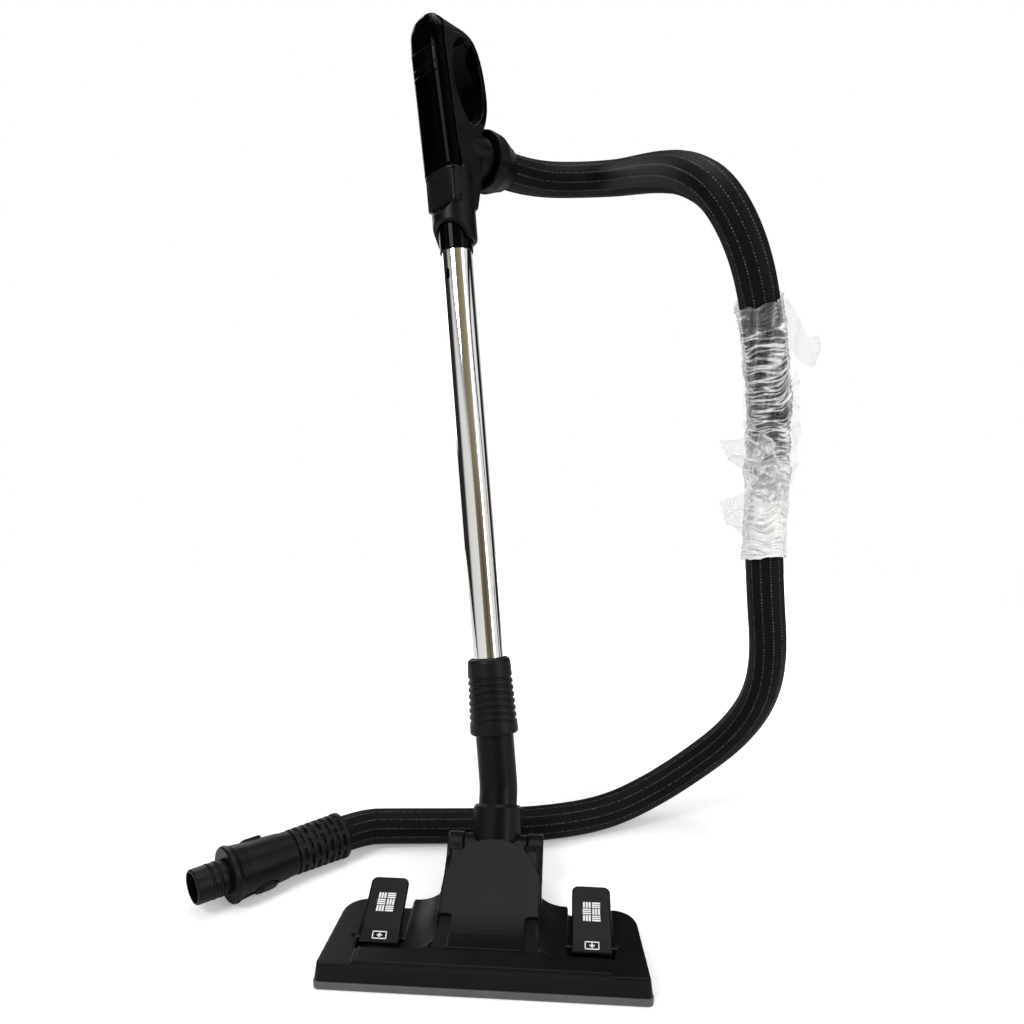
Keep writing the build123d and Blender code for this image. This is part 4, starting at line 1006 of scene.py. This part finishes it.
# Each tatter: name, depth of its crumples, seed, milkiness, size of its folds, and the lines it is
# drawn through, whose points are given as film_place takes them
TATTERS = (
    (
        "film_veil_right",
        4.0,
        1,
        0.13,
        19.0,
        [
            [(0.0, 14, 15, -2), (0.08, 18, 14), (0.17, 17, 14)],
            [(0.0, 25, 8, 0), (0.08, 27, 9), (0.2, 25, 9)],
            [(0.06, 33, 5, 0), (0.14, 37, 6, -2), (0.22, 37, 6, -6)],
            [(0.12, 43, 4, -4), (0.17, 46, 5, -6), (0.22, 47, 5, -8)],
            [(0.13, 53, 4, 0), (0.15, 54, 5, -2), (0.17, 53, 6, -4)],
        ],
    ),
    (
        "film_flap_left",
        5.0,
        2,
        0.26,
        24.0,
        [
            [(0.5, -8, 24, 2), (0.57, -6, 25), (0.64, -12, 21)],
            [(0.515, -20, 21, 1), (0.58, -20, 24), (0.65, -21, 19)],
            [(0.53, -34, 17, 0), (0.58, -36, 19), (0.64, -33, 17)],
            [(0.545, -53, 13, 2), (0.575, -49, 15), (0.61, -43, 14)],
        ],
    ),
    (
        "film_crush",
        13.0,
        3,
        0.3,
        15.0,
        [
            [(0.52, -14, 23, 4), (0.53, -3, 27, 2), (0.57, 5, 24, 0)],
            [(0.6, -19, 21), (0.61, -4, 30), (0.64, 9, 24)],
            [(0.69, -20, 20), (0.68, -2, 29), (0.69, 17, 20)],
            [(0.77, -20, 17), (0.77, 0, 25), (0.76, 20, 15)],
        ],
    ),
    (
        "film_rag_left",
        7.0,
        4,
        0.16,
        17.0,
        [
            [(0.7, -16, 18), (0.79, -18, 18), (0.93, -18, 16)],
            [(0.73, -26, 17), (0.8, -29, 17), (0.9, -27, 15)],
            [(0.77, -40, 14, 3), (0.82, -38, 15), (0.87, -34, 13)],
            [(0.785, -50, 12, 4), (0.82, -47, 13), (0.86, -42, 12)],
        ],
    ),
    (
        "film_veil_side",
        5.0,
        5,
        0.06,
        22.0,
        [
            [(0.3, 15, 13), (0.5, 17, 13), (0.68, 16, 13)],
            [(0.3, 23, 9), (0.5, 26, 9), (0.7, 24, 9)],
            [(0.26, 30, 6), (0.5, 30, 8), (0.74, 27, 8)],
        ],
    ),
    (
        "film_veil_left",
        4.0,
        6,
        0.05,
        18.0,
        [
            [(0.06, -16, 13), (0.25, -17, 13), (0.5, -16, 14)],
            [(0.07, -22, 9), (0.25, -22, 9), (0.5, -23, 10)],
            [(0.08, -26, 5), (0.25, -25, 7), (0.48, -28, 8)],
        ],
    ),
)
film_pieces = [film_sleeve()]
for name, depth, seed, milky, fold, lines in TATTERS:
    placed = [[film_place(*point) for point in line] for line in lines]
    film_pieces.append(film_flap(name, depth, seed, milky, fold, placed))
for piece in film_pieces:
    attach(piece, "wand")
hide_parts("film_wrap")


# ---------------------------------------------------------------- stage, light
NEAR_GLOW = 0.3
GLOW_EVEN_TO = 0.42
GLOW_FULL_FROM = 0.95
FLOOR_RADIUS = 1.6
FLOOR_SIDES = 96


def plain_stage():
    """A pale floor that keeps the object's shadow and shows white to the camera."""
    material, tree, output = bare_tree("floor_white")
    diffuse = tree.nodes.new("ShaderNodeBsdfDiffuse")
    diffuse.inputs["Color"].default_value = (0.86, 0.86, 0.86, 1.0)
    # The glow is even near the object, where its shadow stays, and pure white further out
    glow = tree.nodes.new("ShaderNodeEmission")
    rays = tree.nodes.new("ShaderNodeLightPath")
    seen = math_node(tree, "MAXIMUM", rays.outputs["Is Camera Ray"], rays.outputs["Is Transmission Ray"])
    place = tree.nodes.new("ShaderNodeTexCoord")
    reach = tree.nodes.new("ShaderNodeVectorMath")
    reach.operation = "LENGTH"
    tree.links.new(place.outputs["Object"], reach.inputs[0])
    rise = tree.nodes.new("ShaderNodeMapRange")
    rise.interpolation_type = "SMOOTHSTEP"
    rise.inputs["From Min"].default_value = GLOW_EVEN_TO
    rise.inputs["From Max"].default_value = GLOW_FULL_FROM
    tree.links.new(reach.outputs["Value"], rise.inputs["Value"])
    strength = math_node(tree, "MULTIPLY_ADD", rise.outputs["Result"], 1.0, NEAR_GLOW)
    tree.links.new(math_node(tree, "MULTIPLY", seen, strength), glow.inputs["Strength"])
    both = tree.nodes.new("ShaderNodeAddShader")
    tree.links.new(diffuse.outputs["BSDF"], both.inputs[0])
    tree.links.new(glow.outputs["Emission"], both.inputs[1])
    tree.links.new(both.outputs["Shader"], output.inputs["Surface"])
    # Round, and small enough for polished pieces to mirror the room past its edge
    rim = []
    for step in range(FLOOR_SIDES):
        angle = 2 * math.pi * step / FLOOR_SIDES
        rim.append((FLOOR_RADIUS * math.cos(angle), FLOOR_RADIUS * math.sin(angle), 0))
    floor = make_object("floor", rim, [tuple(range(FLOOR_SIDES))], material, smooth=False)


plain_stage()


def area_light(name, place, aim, size, power):
    """A soft box at place that points at aim."""
    data = bpy.data.lights.new(name, "AREA")
    data.shape = "RECTANGLE"
    data.size, data.size_y = size
    data.energy = power
    lamp = bpy.data.objects.new(name, data)
    bpy.context.scene.collection.objects.link(lamp)
    lamp.location = place
    lamp.rotation_euler = (Vector(aim) - Vector(place)).to_track_quat("-Z", "Y").to_euler()


area_light("key", (-1.1, -1.3, 2.1), (0.0, 0.15, 0.25), (0.9, 0.9), 30.0)
area_light("fill", (1.7, -0.9, 1.2), (0.0, 0.15, 0.4), (0.4, 1.8), 12.0)
area_light("top", (0.1, 0.5, 2.4), (0.0, 0.15, 0.2), (1.6, 1.6), 26.0)
area_light("rear", (-1.0, 1.6, 1.0), (0.0, 0.2, 0.4), (0.8, 1.6), 9.0)

# The camera sees a white world. All other rays see light and dark bands, which the plated tube mirrors
world = bpy.data.worlds.new("studio")
bpy.context.scene.world = world
world.use_nodes = True
tree = world.node_tree
tree.nodes.clear()
output = tree.nodes.new("ShaderNodeOutputWorld")
background = tree.nodes.new("ShaderNodeBackground")
white = tree.nodes.new("ShaderNodeBackground")
white.inputs["Color"].default_value = (1, 1, 1, 1)
place = tree.nodes.new("ShaderNodeTexCoord")
parts = tree.nodes.new("ShaderNodeSeparateXYZ")
tree.links.new(place.outputs["Generated"], parts.inputs["Vector"])
heading = math_node(
    tree, "ARCTAN2", parts.outputs["X"], math_node(tree, "MULTIPLY", parts.outputs["Y"], -1.0)
)
share = math_node(tree, "MULTIPLY_ADD", heading, 0.5 / math.pi, 0.5)
warm, umber = (0.24, 0.2, 0.13), (0.1, 0.085, 0.065)
# Bands by heading: one set up to about 21 degrees above the horizon, the other from 30 degrees up
level = ramp(
    tree,
    share,
    [
        (0.0, 0.015),
        (0.265, 0.03),
        (0.31, 0.85),
        (0.475, 0.95),
        (0.49, warm),
        (0.56, umber),
        (0.625, (0.26, 0.21, 0.16)),
        (0.645, 0.95),
        (0.8, 0.95),
        (0.82, 0.015),
        (0.9, 0.02),
        (0.915, 0.5),
        (0.97, 0.6),
        (1.0, 0.015),
    ],
)
raised = ramp(
    tree,
    share,
    [
        (0.0, 0.02),
        (0.18, 0.03),
        (0.3, 0.12),
        (0.45, 0.24),
        (0.48, warm),
        (0.6, (0.36, 0.31, 0.2)),
        (0.62, 0.9),
        (0.77, 0.9),
        (0.79, 0.02),
        (0.85, 0.02),
        (0.87, (0.3, 0.23, 0.18)),
        (0.93, 0.03),
        (1.0, 0.05),
    ],
)
height = tree.nodes.new("ShaderNodeMapRange")
height.interpolation_type = "SMOOTHSTEP"
height.inputs["From Min"].default_value = 0.36
height.inputs["From Max"].default_value = 0.5
tree.links.new(parts.outputs["Z"], height.inputs["Value"])
blend = tree.nodes.new("ShaderNodeMix")
blend.data_type = "RGBA"
tree.links.new(height.outputs["Result"], blend.inputs["Factor"])
tree.links.new(level, blend.inputs["A"])
tree.links.new(raised, blend.inputs["B"])
tree.links.new(blend.outputs["Result"], background.inputs["Color"])
background.inputs["Strength"].default_value = 0.95
rays = tree.nodes.new("ShaderNodeLightPath")
mix = tree.nodes.new("ShaderNodeMixShader")
tree.links.new(rays.outputs["Is Camera Ray"], mix.inputs["Fac"])
tree.links.new(background.outputs["Background"], mix.inputs[1])
tree.links.new(white.outputs["Background"], mix.inputs[2])
tree.links.new(mix.outputs["Shader"], output.inputs["Surface"])

bpy.context.scene.view_settings.view_transform = "Standard"
